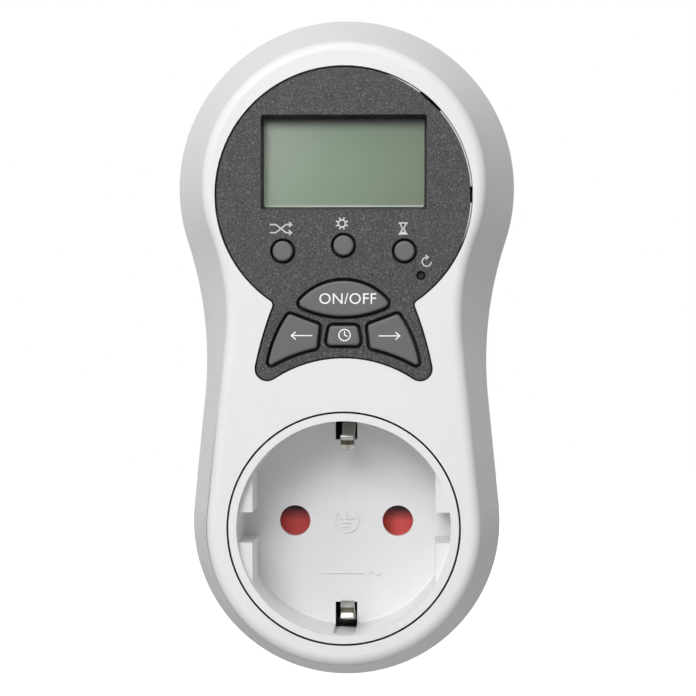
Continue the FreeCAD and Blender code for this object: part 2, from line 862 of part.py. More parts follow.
def lying(centre, length, r, along_x):
    """A round component that lies above the board on two bent leads."""
    x, z = centre[0], power_z + centre[1]
    y = power_y - lead_gap - r
    half = length / 2
    body = rod_x(x - half, x + half, y, z, r) if along_x else rod_z(x, y, r, z - half, z + half)
    pieces = [body]
    for side in (-1, 1):
        way = V(side, 0, 0) if along_x else V(0, 0, side)
        start, turn = (V(x, y, z) + way * (half + step * lead_r) for step in (-2, 3))
        run = [start, turn, V(turn.x, power_y, turn.z)]
        pieces.append(swept(run, lead_r, 2 * lead_r)[0])
    return joined(pieces)


def make_varistor():
    x, z = varistor_place[0], power_z + varistor_place[1]
    y = power_y - lead_gap - varistor_r
    disc = rod_x(x, x + varistor_t, y, z, varistor_r)
    disc = disc.makeFillet(varistor_t / 4, [e for e in disc.Edges if e.BoundBox.XLength < 1e-4])
    middle = x + varistor_t / 2
    leads = [rod_y(middle, z + side * varistor_r / 2, lead_r, y, power_y) for side in (-1, 1)]
    return joined([disc] + leads)


def make_smoothing():
    x, z = smoothing_place[0], power_z + smoothing_place[1]
    can = rod_y(x, z, smoothing_r, power_y - smoothing_h, power_y)
    can = can.makeFillet(smoothing_edge_r, edges_at(can, power_y - smoothing_h))
    low_y = power_y - can_groove_rise
    high_y = low_y - can_groove_width
    groove = rod_y(x, z, smoothing_r + over, high_y, low_y)
    core = rod_y(x, z, smoothing_r - can_groove_depth, high_y - over, low_y + over)
    return can.cut(groove.cut(core))


def make_ribbon():
    z_low = power_z + wire_row + ribbon_rise
    z_high = z_low + ribbon_step
    middle_y = (power_y + control_back_y) / 2
    points = [V(0, power_y, z_low), V(0, middle_y + ribbon_run, z_low),
              V(0, middle_y - ribbon_run, z_high), V(0, control_back_y, z_high)]
    half = ribbon_width / 2
    return strip(points, ribbon_t, ribbon_bend_r, ribbon_x - half, ribbon_x + half)


def make_board_screws():
    screws = []
    for x, z in post_places():
        head = rod_y(x, z, small_head_r, control_back_y, control_back_y + small_head_h)
        shank = rod_y(x, z, small_screw_r, control_back_y - small_screw_length, control_back_y)
        screws.append(joined([head, shank]))
    for x, z in standoff_places():
        head = rod_y(x, z, small_head_r, power_y - small_head_h, power_y)
        shank = rod_y(x, z, small_screw_r, power_y, power_back_y + standoff)
        screws.append(joined([head, shank]))
    return Part.makeCompound(screws)


# Socket

def make_cup():
    cup = rod_y(0, 0, cup_r, front_y, cup_back_y)
    lugs = []
    lug_y = front_y + face_wall
    for side in (-1, 1):
        x0, x1 = sorted((side * (cup_r - cup_wall / 2), side * (cup_r + lug_out)))
        half = lug_width / 2
        lugs.append(block(x0, x1, lug_y, lug_y + lug_h, -half, half))
        lugs.append(block(-half, half, lug_y, lug_y + lug_h, x0, x1))
    cup = joined([cup] + lugs)
    recess = rod_y(0, 0, recess_r, front_y, floor_y)
    recess = recess.makeFillet(recess_floor_r, edges_at(recess, floor_y))
    guides = []
    for side in (-1, 1):
        x0, x1 = sorted((side * guide_x, side * recess_r))
        guides.append(block(x0, x1, front_y + guide_drop, floor_y, -recess_r, -guide_notch / 2))
        guides.append(block(x0, x1, front_y + guide_drop, floor_y, guide_notch / 2, recess_r))
    recess = recess.cut(guides)
    holes = [rod_y(side * pin_pitch / 2, 0, hole_r, floor_y - over, cup_back_y + over)
             for side in (-1, 1)]
    slots = []
    half = earth_slot_width / 2
    for side in (-1, 1):
        z0, z1 = sorted((side * (recess_r - earth_slot_in), side * (recess_r + earth_slot_out)))
        slots.append(block(-half, half, front_y + earth_slot_top, cup_back_y + over, z0, z1))
    return cup.cut([recess] + holes + slots)


def prop_places():
    """Posts of the rear shell that press the contact block against the cup."""
    side = block_half - prop_in
    return [(s * side, z) for z in (prop_in - block_low, block_high - prop_in) for s in (-1, 1)]


def make_block():
    """Insulating carrier with a pocket for the shutter and a cell for each contact."""
    body = block(-block_half, block_half, cup_back_y, block_back_y, -block_low, block_high)
    pocket_back = cup_back_y + shutter_t + 2 * shutter_gap
    pocket = block(-shutter_half - shutter_gap, shutter_half + shutter_gap,
                   cup_back_y, pocket_back, -shutter_low - shutter_gap, spring_ceiling)
    cuts = [pocket]
    for side in (-1, 1):
        x = side * pin_pitch / 2
        cuts.append(rod_y(x, 0, hole_r + web_play, pocket_back - over, pocket_back + web_t + over))
        cuts.append(block(x - cell_half, x + cell_half, pocket_back + web_t, block_back_y,
                          -cell_half, cell_half))
    return body.cut(cuts)


def make_shutter():
    """Slanted faces behind the holes turn the push of two pins into a lift."""
    y0 = cup_back_y + shutter_gap
    y1 = y0 + shutter_t
    body = block(-shutter_half, shutter_half, y0, y1, -shutter_low, shutter_high)
    middle_y = y0 + shutter_t / 2
    peg = rod_z(0, middle_y, peg_r, shutter_high, shutter_high + peg_h)
    ramps = []
    for side in (-1, 1):
        x = side * pin_pitch / 2 - shutter_ramp_half
        low, high = -shutter_low - over, shutter_low
        deep = y0 + shutter_ramp * (high - low) / (2 * shutter_low)
        wedge = Part.makePolygon([V(x, y0, high), V(x, y0 - over, high), V(x, y0 - over, low),
                                  V(x, deep, low), V(x, y0, high)])
        ramps.append(Part.Face(wedge).extrude(V(2 * shutter_ramp_half, 0, 0)))
    return joined([body, peg]).cut(ramps)


def make_spring():
    """Compression spring between the shutter and the top of its pocket."""
    wire = spring_wire_r
    low, high = shutter_high + wire, spring_ceiling - wire
    height = high - low
    middle_y = cup_back_y + shutter_gap + shutter_t / 2
    helix = Part.makeHelix(height / spring_turns, height, spring_coil_r)
    helix.translate(V(0, middle_y, low))
    start = V(spring_coil_r, middle_y, low)
    ring = Part.Wire(Part.makeCircle(wire, start, V(0, 1, 0)))
    spring = helix.makePipeShell([ring], True, True)
    print("spring turns stand %.2f apart" % (height / spring_turns - 2 * wire))
    return spring


def make_contact(with_tab_at):
    """Two sprung leaves beside the pin, joined by a base behind the pin's end."""
    x = abs(with_tab_at)
    leaf_front = cup_back_y + shutter_t + 2 * shutter_gap + web_t + leaf_front_gap
    pieces = [block(x - leaf_gap - leaf_t, x + leaf_gap + leaf_t, contact_y, contact_y + base_t,
                    -leaf_half, leaf_half)]
    for side in (-1, 1):
        x0, x1 = sorted((x + side * leaf_gap, x + side * (leaf_gap + leaf_t)))
        pieces.append(block(x0, x1, leaf_front, contact_y + base_t, -leaf_half, leaf_half))
        pieces.append(rod_z(x + side * (leaf_gap + leaf_t / 2), leaf_front + bead_in, bead_r,
                            -leaf_half, leaf_half))
    tab_x = leaf_x - tab_width
    pieces.append(block(tab_x, tab_x + tab_width, contact_y, contact_y + base_t, 0, tab_reach))
    contact = joined(pieces)
    return contact if with_tab_at > 0 else mirrored(contact)


# Plug

def make_pin(x, root_y):
    """A pin with its collar in the plug's end wall and a thinner shank inside."""
    tip = rod_y(x, 0, pin_r, 0, pin_length)
    tip = tip.makeFillet(pin_tip, edges_at(tip, pin_length))
    collar = rod_y(x, 0, collar_r, -spigot_floor, 0)
    return joined([tip, collar, rod_y(x, 0, shank_r, root_y, -spigot_floor)])


def make_line_pin():
    x = pin_pitch / 2
    pin = make_pin(x, -lug_depth)
    lug = block(x - lug_half, x + lug_half, -lug_depth - lug_t, -lug_depth, -lug_half, lug_reach)
    return joined([pin, lug])


def make_neutral_pin():
    return make_pin(-pin_pitch / 2, contact_y + base_t)


def make_plug_earth(side):
    """Strip that lies in the plug's groove and reaches back to the earth strap."""
    outer = spigot_r - earth_strip_rise
    half = earth_strip_width / 2
    z0, z1 = sorted((side * (outer - earth_strip_t), side * outer))
    end_y = -groove_land - groove_end_gap
    body = block(-half, half, strap_back_y, end_y, z0, z1)
    ends = [e for e in edges_at(body, end_y) if e.BoundBox.ZLength > earth_strip_t / 2]
    return body.makeFillet(earth_end_r, ends)


def make_strap():
    """Cross strap behind the block, with both ends turned forward beside the clips."""
    half = strap_width / 2
    ear = knee_r + clip_t / 2 + clip_gap
    pieces = [block(-half, half, block_back_y, strap_back_y, -ear - strap_t, ear + strap_t)]
    for side in (-1, 1):
        z0, z1 = sorted((side * ear, side * (ear + strap_t)))
        pieces.append(block(-half, half, strap_back_y - strap_ear, strap_back_y, z0, z1))
    return joined(pieces)


def make_clip(side):
    """Sprung earth clip: it runs forward, turns in to its nose and out again."""
    places = [(clip_knee[0], clip_foot_depth), clip_knee, clip_nose, clip_tip]
    points = [V(0, front_y + depth, side * (recess_r - inside)) for inside, depth in places]
    half = clip_width / 2
    return strip(points, clip_t, clip_bend_r, clip_off - half, clip_off + half)


# Wires inside the housing

def wire_route(x, end_x, end_y, end_z):
    """From the power board's front, over its lower edge and behind the contact block."""
    start_z = power_z + wire_row
    lane_y = (strap_back_y + inner_back_y) / 2
    out_y = power_y - wire_out
    return [V(x, power_y, start_z), V(x, out_y, start_z), V(x, out_y, start_z - wire_drop),
            V(x, lane_y, block_high + wire_clear), V(end_x, lane_y, end_z), V(end_x, end_y, end_z)]


def make_line_wire():
    return tube(wire_route(line_wire_x, pin_pitch / 2 - wire_in, -lug_depth - lug_t,
                           lug_reach - wire_in), wire_r, wire_bend_r)


def load_route(side):
    tab_x = leaf_x - tab_width / 2
    return wire_route(side * load_wire_x, side * tab_x, contact_y, tab_reach - wire_in)


parts = {
    "front_shell": make_front_shell(),
    "rear_shell": make_rear_shell(),
    "housing_screws": make_housing_screws(),
    "control_panel": make_control_panel(),
    "display_window": make_window(),
    "display_cell": make_cell(),
    "display_tray": make_tray(),
    "contact_strips": Part.makeCompound(strip_boxes(0)),
    "key_switches": make_switches(),
    "reset_plunger": make_reset_plunger(),
    "control_board": make_control_board(),
    "backup_battery": make_battery(),
    "controller_chip": make_chip(),
    "clock_crystal": make_crystal(),
    "power_board": make_power_board(),
    "relay": boxed(relay_size, relay_place, relay_edge_r),
    "film_capacitor": boxed(film_size, film_place, film_edge_r),
    "varistor": make_varistor(),
    "smoothing_capacitor": make_smoothing(),
    "resistors": Part.makeCompound([lying(p, resistor_length, resistor_r, True)
                                    for p in resistor_places]),
    "diodes": Part.makeCompound([lying(p, diode_length, diode_r, False) for p in diode_places]),
    "fuse": lying(fuse_place, fuse_length, fuse_r, True),
    "ribbon_cable": make_ribbon(),
    "board_screws": make_board_screws(),
    "socket_cup": make_cup(),
    "contact_block": make_block(),
    "shutter": make_shutter(),
    "shutter_spring": make_spring(),
    "line_contact": make_contact(pin_pitch / 2),
    "neutral_contact": make_contact(-pin_pitch / 2),
    "line_pin": make_line_pin(),
    "neutral_pin": make_neutral_pin(),
    "upper_plug_earth": make_plug_earth(1),
    "lower_plug_earth": make_plug_earth(-1),
    "earth_strap": make_strap(),
    "upper_earth_clip": make_clip(1),
    "lower_earth_clip": make_clip(-1),
    "line_wire": make_line_wire(),
    "load_wire": tube(load_route(1), wire_r, wire_bend_r),
    "neutral_wire": tube(load_route(-1), wire_r, wire_bend_r),
}

outlines = {"key_manual": lens_outline, "key_time": time_outline, "key_left": wing_outline}
for name, x, z in key_places():
    if name in outlines:
        parts[name] = make_key(outlines[name], key_gap, x, z)
    elif name == "key_right":
        parts[name] = mirrored(parts["key_left"])
    else:
        parts[name] = make_key(round_outline(x, z), round_key_gap, x, z)
    parts[name.replace("key_", "plunger_")] = make_plunger(x, z, plunger_r)

os.makedirs("parts", exist_ok=True)
for name, shape in parts.items():
    shape.exportStep("parts/%s.step" % name)
    print(name, len(shape.Solids), "solids", "valid" if shape.isValid() else "NOT VALID",
          "%.1f mm3" % shape.Volume)
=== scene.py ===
# %% [markdown]
# # A plug-in timer with a round earthed socket
#
# The timer plugs into a wall socket with the plug on its back. Its front has a dark panel
# with a display and eight keys, and below it a round socket for an appliance's plug.
#
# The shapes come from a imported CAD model, which is loaded as a fixed frame. This lesson
# dresses that frame: it sets a camera and soft lights, gives every part a finish made
# from shader nodes, and models what CAD leaves plain, such as the printed signs, the
# bent earth clips and the little spring. All lengths are in metres, X is right, Y runs
# back to the wall and Z is up.

# %% Load the CAD model
import json
import math

import bpy
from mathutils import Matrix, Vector


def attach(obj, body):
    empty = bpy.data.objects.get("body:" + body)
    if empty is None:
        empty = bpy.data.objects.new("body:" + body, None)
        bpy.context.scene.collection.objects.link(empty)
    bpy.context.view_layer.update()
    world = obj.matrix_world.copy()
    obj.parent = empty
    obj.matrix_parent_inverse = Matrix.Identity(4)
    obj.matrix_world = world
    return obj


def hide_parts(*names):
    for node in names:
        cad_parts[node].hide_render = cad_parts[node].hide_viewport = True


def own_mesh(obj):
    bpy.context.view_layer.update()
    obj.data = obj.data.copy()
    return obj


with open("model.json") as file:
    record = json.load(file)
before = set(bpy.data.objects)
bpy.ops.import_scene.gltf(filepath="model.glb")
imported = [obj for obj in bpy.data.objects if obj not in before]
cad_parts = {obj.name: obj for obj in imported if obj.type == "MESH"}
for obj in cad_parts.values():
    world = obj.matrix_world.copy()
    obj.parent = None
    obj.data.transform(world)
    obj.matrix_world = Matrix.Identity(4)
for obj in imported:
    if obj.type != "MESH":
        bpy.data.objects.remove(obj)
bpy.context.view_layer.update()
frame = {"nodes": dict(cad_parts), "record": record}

MM = 0.001
scene = bpy.context.scene
bpy.ops.object.select_all(action="DESELECT")

# %% [markdown]
# ## Camera
#
# The photograph was taken from about 420 mm in front of the face, a little to the right
# and slightly above the middle. The pins of such a socket are 19 mm apart, which gives
# the scale, and the shift of the recess's floor against its rim gives the place. A long
# lens at that distance frames 123 mm, as the photograph does.

# %% Camera
CAMERA_PLACE = Vector((0.0131, -0.475, 0.0363))
CAMERA_TARGET = Vector((0.0008, -0.055, 0.0321))
CAMERA_LENS = 122.5         # millimetres, on a sensor 36 mm wide

camera_data = bpy.data.cameras.new("camera")
camera_data.lens = CAMERA_LENS
camera_data.clip_start = 0.01
camera = bpy.data.objects.new("camera", camera_data)
camera.location = CAMERA_PLACE
camera.rotation_euler = (CAMERA_TARGET - CAMERA_PLACE).to_track_quat("-Z", "Y").to_euler()
scene.collection.objects.link(camera)
scene.camera = camera
scene.view_settings.view_transform = "Standard"
print("camera", round((CAMERA_TARGET - CAMERA_PLACE).length, 3), "m from the face")

# %% [markdown]
# ## Light and floor
#
# One large soft lamp stands up and to the left, as the shadow of the upper earth clip in
# the recess shows. Weaker ones fill in from the left, the right and above, and one stands
# behind, so that the back can be seen too.
#
# The world is a dim even white for the light that it gives. The camera and glass see it
# full white, and what shiny surfaces reflect lies halfway between the two. A wall socket
# holds the timer well above the floor, so the floor lies deeper than the body's lower
# edge. The floor keeps the timer's shadow, and a glow that only the camera sees makes it
# white, a little less so near the timer.

# %% Light
SUBJECT = Vector((0.0, -0.05, 0.03))
LAMP_DISTANCE = 1.2
LAMP_SIZE = 0.55
LAMPS = (
    ("key_lamp", Vector((-0.231, -0.865, 0.447)), 7.95),
    ("left_lamp", Vector((-0.6, -0.5, 0.62)), 2.5),
    ("right_lamp", Vector((0.9, -0.43, 0.0)), 0.78),
    ("top_lamp", Vector((0.0, -0.4, 0.92)), 2.6),
    ("back_lamp", Vector((0.1, 0.96, 0.18)), 1.8),
)
for name, direction, watts in LAMPS:
    data = bpy.data.lights.new(name, "AREA")
    data.shape = "SQUARE"
    data.size = LAMP_SIZE
    data.energy = watts
    lamp = bpy.data.objects.new(name, data)
    lamp.location = SUBJECT + direction.normalized() * LAMP_DISTANCE
    lamp.rotation_euler = (-direction).to_track_quat("-Z", "Y").to_euler()
    scene.collection.objects.link(lamp)
print(len(LAMPS), "lamps")

# %% World
AMBIENT = 0.225             # strength of the light that the world gives
SEEN = 1.0                  # strength at which the camera and glass see it
REFLECTED = 0.5             # how far a reflection lies from the first to the second


def combined(tree, operation, first, second):
    """The result of a Math node. Each value is a number or a socket."""
    node = tree.nodes.new("ShaderNodeMath")
    node.operation = operation
    for socket, value in zip(node.inputs, (first, second)):
        if isinstance(value, float):
            socket.default_value = value
        else:
            tree.links.new(value, socket)
    return node.outputs["Value"]


world = bpy.data.worlds.new("studio")
world.use_nodes = True
scene.world = world
tree = world.node_tree
tree.nodes.clear()
rays = tree.nodes.new("ShaderNodeLightPath").outputs
reflected = combined(tree, "MULTIPLY", rays["Is Glossy Ray"], REFLECTED)
seen = combined(tree, "MAXIMUM", rays["Is Camera Ray"], reflected)
seen = combined(tree, "MAXIMUM", seen, rays["Is Transmission Ray"])
choose = tree.nodes.new("ShaderNodeMixShader")
tree.links.new(seen, choose.inputs["Fac"])
for socket, strength in ((choose.inputs[1], AMBIENT), (choose.inputs[2], SEEN)):
    sky = tree.nodes.new("ShaderNodeBackground")
    sky.inputs["Color"].default_value = (1, 1, 1, 1)
    sky.inputs["Strength"].default_value = strength
    tree.links.new(sky.outputs[0], socket)
world_out = tree.nodes.new("ShaderNodeOutputWorld")
tree.links.new(choose.outputs[0], world_out.inputs["Surface"])
print("ambient light", AMBIENT)

# %% Floor
FLOOR_Z = -0.09
FLOOR_SIZE = 3.0

bpy.ops.mesh.primitive_plane_add(size=FLOOR_SIZE, location=(0, 0, FLOOR_Z))
floor = bpy.context.object
floor.name = "floor"
floor_finish = bpy.data.materials.new("pale_floor")
floor_finish.use_nodes = True
tree = floor_finish.node_tree
paint = tree.nodes["Principled BSDF"]
paint.inputs["Base Color"].default_value = (0.6, 0.6, 0.6, 1)
paint.inputs["Roughness"].default_value = 0.9
paint.inputs["Specular IOR Level"].default_value = 0.0
rays = tree.nodes.new("ShaderNodeLightPath").outputs
glow = tree.nodes.new("ShaderNodeEmission")
place = tree.nodes.new("ShaderNodeTexCoord")
away = tree.nodes.new("ShaderNodeVectorMath")
away.operation = "LENGTH"
whiter = tree.nodes.new("ShaderNodeMapRange")
for label, value in (("From Min", 0.3), ("From Max", 0.9), ("To Min", 0.75), ("To Max", 1.0)):
    whiter.inputs[label].default_value = value
both = tree.nodes.new("ShaderNodeAddShader")
tree.links.new(place.outputs["Object"], away.inputs[0])
tree.links.new(away.outputs["Value"], whiter.inputs["Value"])
glow_strength = combined(tree, "MULTIPLY", rays["Is Camera Ray"], whiter.outputs["Result"])
tree.links.new(glow_strength, glow.inputs["Strength"])
tree.links.new(paint.outputs[0], both.inputs[0])
tree.links.new(glow.outputs[0], both.inputs[1])
tree.links.new(both.outputs[0], tree.nodes["Material Output"].inputs["Surface"])
floor.data.materials.append(floor_finish)
print("floor at", FLOOR_Z)

# %% [markdown]
# ## Effects that several finishes share
#
# A moulded surface is never perfectly even. Four effects come back in most finishes, so
# each is built once as a node group and gets its own values in every material:
#
# - grain: the fine texture that a spark-eroded mould leaves, as a height
# - cloud: slow changes over the surface, as a mask
# - speckle: tiny grains of another colour, as a mask
# - rubbed: streaks from handling, as a mask
#
# They read Object coordinates, which are metres here, so a scale of 4000 makes features
# of a quarter of a millimetre.

# %% Node group helpers


def new_group(name, scale, output):
    """An empty shader group with a Scale and one named number that it puts out."""
    group = bpy.data.node_groups.new(name, "ShaderNodeTree")
    kind = "NodeSocketFloat"
    socket = group.interface.new_socket("Scale", in_out="INPUT", socket_type=kind)
    socket.default_value = scale
    group.interface.new_socket(output, in_out="OUTPUT", socket_type=kind)
    start = group.nodes.new("NodeGroupInput")
    end = group.nodes.new("NodeGroupOutput")
    return group, start, end


def noise_in(group, start, detail, roughness=0.5):
    """A noise texture on Object coordinates at the group's scale."""
    place = group.nodes.new("ShaderNodeTexCoord")
    noise = group.nodes.new("ShaderNodeTexNoise")
    noise.inputs["Detail"].default_value = detail
    noise.inputs["Roughness"].default_value = roughness
    group.links.new(place.outputs["Object"], noise.inputs["Vector"])
    group.links.new(start.outputs["Scale"], noise.inputs["Scale"])
    return noise.outputs["Fac"]


def ramp_in(group, source, low, high):
    """Stretches the values between low and high over 0 to 1, with soft ends."""
    ramp = group.nodes.new("ShaderNodeMapRange")
    ramp.interpolation_type = "SMOOTHSTEP"
    ramp.inputs["From Min"].default_value = low
    ramp.inputs["From Max"].default_value = high
    group.links.new(source, ramp.inputs["Value"])
    return ramp.outputs["Result"]


# %% The four groups
GRAIN_SCALE, CLOUD_SCALE, SPECKLE_SCALE, STREAK_SCALE = 4000.0, 60.0, 4500.0, 300.0

grain, start, end = new_group("grain", GRAIN_SCALE, "Height")
grain.links.new(noise_in(grain, start, 2.0, 0.6), end.inputs["Height"])

cloud, start, end = new_group("cloud", CLOUD_SCALE, "Mask")
slow = noise_in(cloud, start, 3.0)
cloud.links.new(ramp_in(cloud, slow, 0.3, 0.7), end.inputs["Mask"])

speckle, start, end = new_group("speckle", SPECKLE_SCALE, "Mask")
dots = noise_in(speckle, start, 1.0, 0.4)
speckle.links.new(ramp_in(speckle, dots, 0.54, 0.7), end.inputs["Mask"])

rubbed, start, end = new_group("rubbed", STREAK_SCALE, "Mask")
place = rubbed.nodes.new("ShaderNodeTexCoord")
long_way = rubbed.nodes.new("ShaderNodeMapping")
long_way.inputs["Scale"].default_value = (1.0, 1.0, 0.12)
streaks = rubbed.nodes.new("ShaderNodeTexNoise")
streaks.inputs["Detail"].default_value = 4.0
rubbed.links.new(place.outputs["Object"], long_way.inputs["Vector"])
rubbed.links.new(long_way.outputs["Vector"], streaks.inputs["Vector"])
rubbed.links.new(start.outputs["Scale"], streaks.inputs["Scale"])
wear_and_dark_reflection = ramp_in(rubbed, streaks.outputs["Fac"], 0.5, 0.8)
rubbed.links.new(wear_and_dark_reflection, end.inputs["Mask"])
print("groups:", [g.name for g in bpy.data.node_groups])

# %% [markdown]
# ## A finish in one call
#
# Every finish here is a Principled shader. Its base colour drifts slowly between two
# near shades, its roughness changes with the handling streaks, and its grain is a bump.
# One helper wires that up and keeps the result under its name, so that each material
# below only says its own values. What is the same all over the surface, such as Metallic,
# is set on the shader itself.

# %% Finish helper
finishes = {}


def group_node(tree, group, scale):
    node = tree.nodes.new("ShaderNodeGroup")
    node.node_tree = group
    node.inputs["Scale"].default_value = scale
    return node


def mix_colour(tree, mask, first, second):
    """Mixes two colours by a mask. Each is a tuple or the socket of an earlier mix."""
    mix = tree.nodes.new("ShaderNodeMix")
    mix.data_type = "RGBA"
    tree.links.new(mask, mix.inputs["Factor"])
    for socket, value in ((mix.inputs["A"], first), (mix.inputs["B"], second)):
        if isinstance(value, tuple):
            socket.default_value = (*value, 1.0)
        else:
            tree.links.new(value, socket)
    return mix.outputs["Result"]


def finish(name, colour, roughness, drift=0.02, drift_scale=CLOUD_SCALE,
           grain_scale=GRAIN_SCALE, grain_height=0.01 * MM, grain_strength=0.3, speckles=(),
           rub=0.06, **plain):
    """A Principled material with drift, handling streaks and grain.

    colour is linear RGB, drift how far it strays and grain_height in metres. speckles
    holds a colour and a scale for each kind of grain that differs from the base. plain
    sets other sockets of the shader by name.
    """
    material = bpy.data.materials.new(name)
    material.use_nodes = True
    tree = material.node_tree
    shader = tree.nodes["Principled BSDF"]
    for label, value in plain.items():
        shader.inputs[label.replace("_", " ")].default_value = value

    mask = group_node(tree, cloud, drift_scale).outputs["Mask"]
    dark = tuple(c * (1 - drift) for c in colour)
    light = tuple(min(1.0, c * (1 + drift)) for c in colour)
    base = mix_colour(tree, mask, dark, light)
    for dot_colour, dot_scale in speckles:
        dots = group_node(tree, speckle, dot_scale).outputs["Mask"]
        base = mix_colour(tree, dots, base, dot_colour)
    tree.links.new(base, shader.inputs["Base Color"])

    streak = group_node(tree, rubbed, STREAK_SCALE).outputs["Mask"]
    shine = tree.nodes.new("ShaderNodeMapRange")
    shine.inputs["To Min"].default_value = roughness
    shine.inputs["To Max"].default_value = max(0.02, roughness - rub)
    tree.links.new(streak, shine.inputs["Value"])
    tree.links.new(shine.outputs["Result"], shader.inputs["Roughness"])

    bump = tree.nodes.new("ShaderNodeBump")
    bump.inputs["Strength"].default_value = grain_strength
    bump.inputs["Distance"].default_value = grain_height
    tree.links.new(group_node(tree, grain, grain_scale).outputs["Height"], bump.inputs["Height"])
    tree.links.new(bump.outputs["Normal"], shader.inputs["Normal"])
    finishes[name] = material


# %% [markdown]
# ## The finishes
#
# The casing is a white plastic with a faint satin shine. The panel is a dark grey with
# the sparkling grain of an eroded mould, and its keys are a smoother, lighter grey.
# Inside are the usual things: green boards, black chips, nickel and brass.

# %% Plastics
finish("white_plastic", (0.82, 0.82, 0.825), 0.42, drift=0.01, grain_height=0.006 * MM)
finish("white_moulding", (0.80, 0.80, 0.80), 0.5, drift=0.01)
finish("grey_panel", (0.044, 0.044, 0.0445), 0.5, drift=0.06,
       drift_scale=120.0, grain_scale=4200.0,
       grain_height=0.12 * MM, grain_strength=0.9,
       speckles=(((0.145, 0.145, 0.147), 4600.0),
                 ((0.002, 0.002, 0.002), 4400.0)))
finish("grey_key", (0.122, 0.126, 0.127), 0.45, drift=0.03)
finish("switch_plastic", (0.03, 0.03, 0.032), 0.4)
finish("black_moulding", (0.022, 0.022, 0.024), 0.45)
finish("shutter_red", (0.93, 0.16, 0.15), 0.42, drift=0.08, drift_scale=350.0)
finish("relay_case", (0.02, 0.02, 0.025), 0.38)
finish("capacitor_case", (0.72, 0.52, 0.07), 0.35)
finish("black_resin", (0.02, 0.02, 0.022), 0.55)
finish("varistor_lacquer", (0.03, 0.10, 0.35), 0.3, drift=0.06, drift_scale=400.0)
finish("capacitor_sleeve", (0.02, 0.025, 0.05), 0.3)
finish("resistor_lacquer", (0.30, 0.38, 0.46), 0.4)
finish("ribbon_insulation", (0.35, 0.36, 0.38), 0.5)
finish("brown_insulation", (0.12, 0.05, 0.025), 0.42)
finish("blue_insulation", (0.03, 0.12, 0.42), 0.42)
finish("connector_rubber", (0.45, 0.46, 0.50), 0.6)
finish("circuit_board", (0.02, 0.14, 0.05), 0.32, drift=0.1, drift_scale=500.0)
print(len(finishes), "plastics")

# %% [markdown]
# Some places need a second colour. Behind the grey top of each key, and on the walls of
# the panel's openings and its outer edge, the colour is black: painted shade for the dark
# gaps, so every key has a black outline. At the upper right the panel's edge gets a painted
# highlight instead, but for two clip notches, which get painted shade. A metal reflects
# nothing but its own colour, so the notches are a black metal, and their painted shade
# stays black in any light.
#
# The joint round the socket's rim is painted black, as shade with a little dust, and the
# crease between the face and the band at the casing's lower left gets a painted shade of
# grey. All follow from where a point lies: depth is its Y, and the joint is a narrow band
# of distances from the socket's axis. The shutter gets a painted shade that darkens it
# upwards.

# %% Masks by place
FAR = 1.0                   # metres: an edge that lies beyond the timer


def band_mask(tree, value, edges, soft):
    """1 where a value lies between two edges and 0 elsewhere, with soft borders."""
    low, high = edges
    masks = []
    for start, end in ((low - soft, low), (high + soft, high)):
        step = tree.nodes.new("ShaderNodeMapRange")
        step.inputs["From Min"].default_value = start
        step.inputs["From Max"].default_value = end
        tree.links.new(value, step.inputs["Value"])
        masks.append(step.outputs["Result"])
    return multiplied(tree, *masks)


def multiplied(tree, first, *others):
    """1 where all the masks are 1."""
    for other in others:
        first = combined(tree, "MULTIPLY", first, other)
    return first


def object_axes(tree):
    """The X, Y and Z of a point, as sockets."""
    place = tree.nodes.new("ShaderNodeTexCoord")
    axes = tree.nodes.new("ShaderNodeSeparateXYZ")
    tree.links.new(place.outputs["Object"], axes.inputs["Vector"])
    return axes.outputs["X"], axes.outputs["Y"], axes.outputs["Z"]


def recolour(name, mask, colour):
    """Puts a second colour over a finish where the mask is 1."""
    tree = finishes[name].node_tree
    socket = tree.nodes["Principled BSDF"].inputs["Base Color"]
    tree.links.new(mix_colour(tree, mask, socket.links[0].from_socket, colour), socket)


def distance(tree, across, upwards):
    """How far a point lies from a level line, by its two distances beside that line."""
    flat = tree.nodes.new("ShaderNodeCombineXYZ")
    length = tree.nodes.new("ShaderNodeVectorMath")
    length.operation = "LENGTH"
    tree.links.new(across, flat.inputs["X"])
    tree.links.new(upwards, flat.inputs["Z"])
    tree.links.new(flat.outputs["Vector"], length.inputs[0])
    return length.outputs["Value"]


def add_metal(name, colour, *masks):
    """Turns the places where any of the masks is 1 into bare metal."""
    tree = finishes[name].node_tree
    either = masks[0]
    for mask in masks[1:]:
        either = combined(tree, "MAXIMUM", either, mask)
    recolour(name, either, colour)
    tree.links.new(either, tree.nodes["Principled BSDF"].inputs["Metallic"])


# %% Painted shade on the edges of the keys and the panel
FRONT_Y = -55.0 * MM
PANEL_Y = -54.7 * MM
KEY_Y = -55.5 * MM
CAP_DEPTH = 0.6 * MM        # how far a key's grey top reaches back; behind it is painted shade
GREY_FACE_DEPTH = 0.03 * MM
BLACK = (0.008, 0.008, 0.008)

# Painted shade: black behind each key's grey top and behind the panel's grey face
for name, skin_y, soft in (("grey_key", KEY_Y + CAP_DEPTH, 0.1 * MM),
                           ("grey_panel", PANEL_Y + GREY_FACE_DEPTH, 0.01 * MM)):
    tree = finishes[name].node_tree
    _, depth_y, _ = object_axes(tree)
    recolour(name, band_mask(tree, depth_y, (skin_y, 0.0), soft), BLACK)
print("black behind", round(CAP_DEPTH / MM, 2), "mm of cap and",
      round(GREY_FACE_DEPTH / MM, 2), "mm of paint")
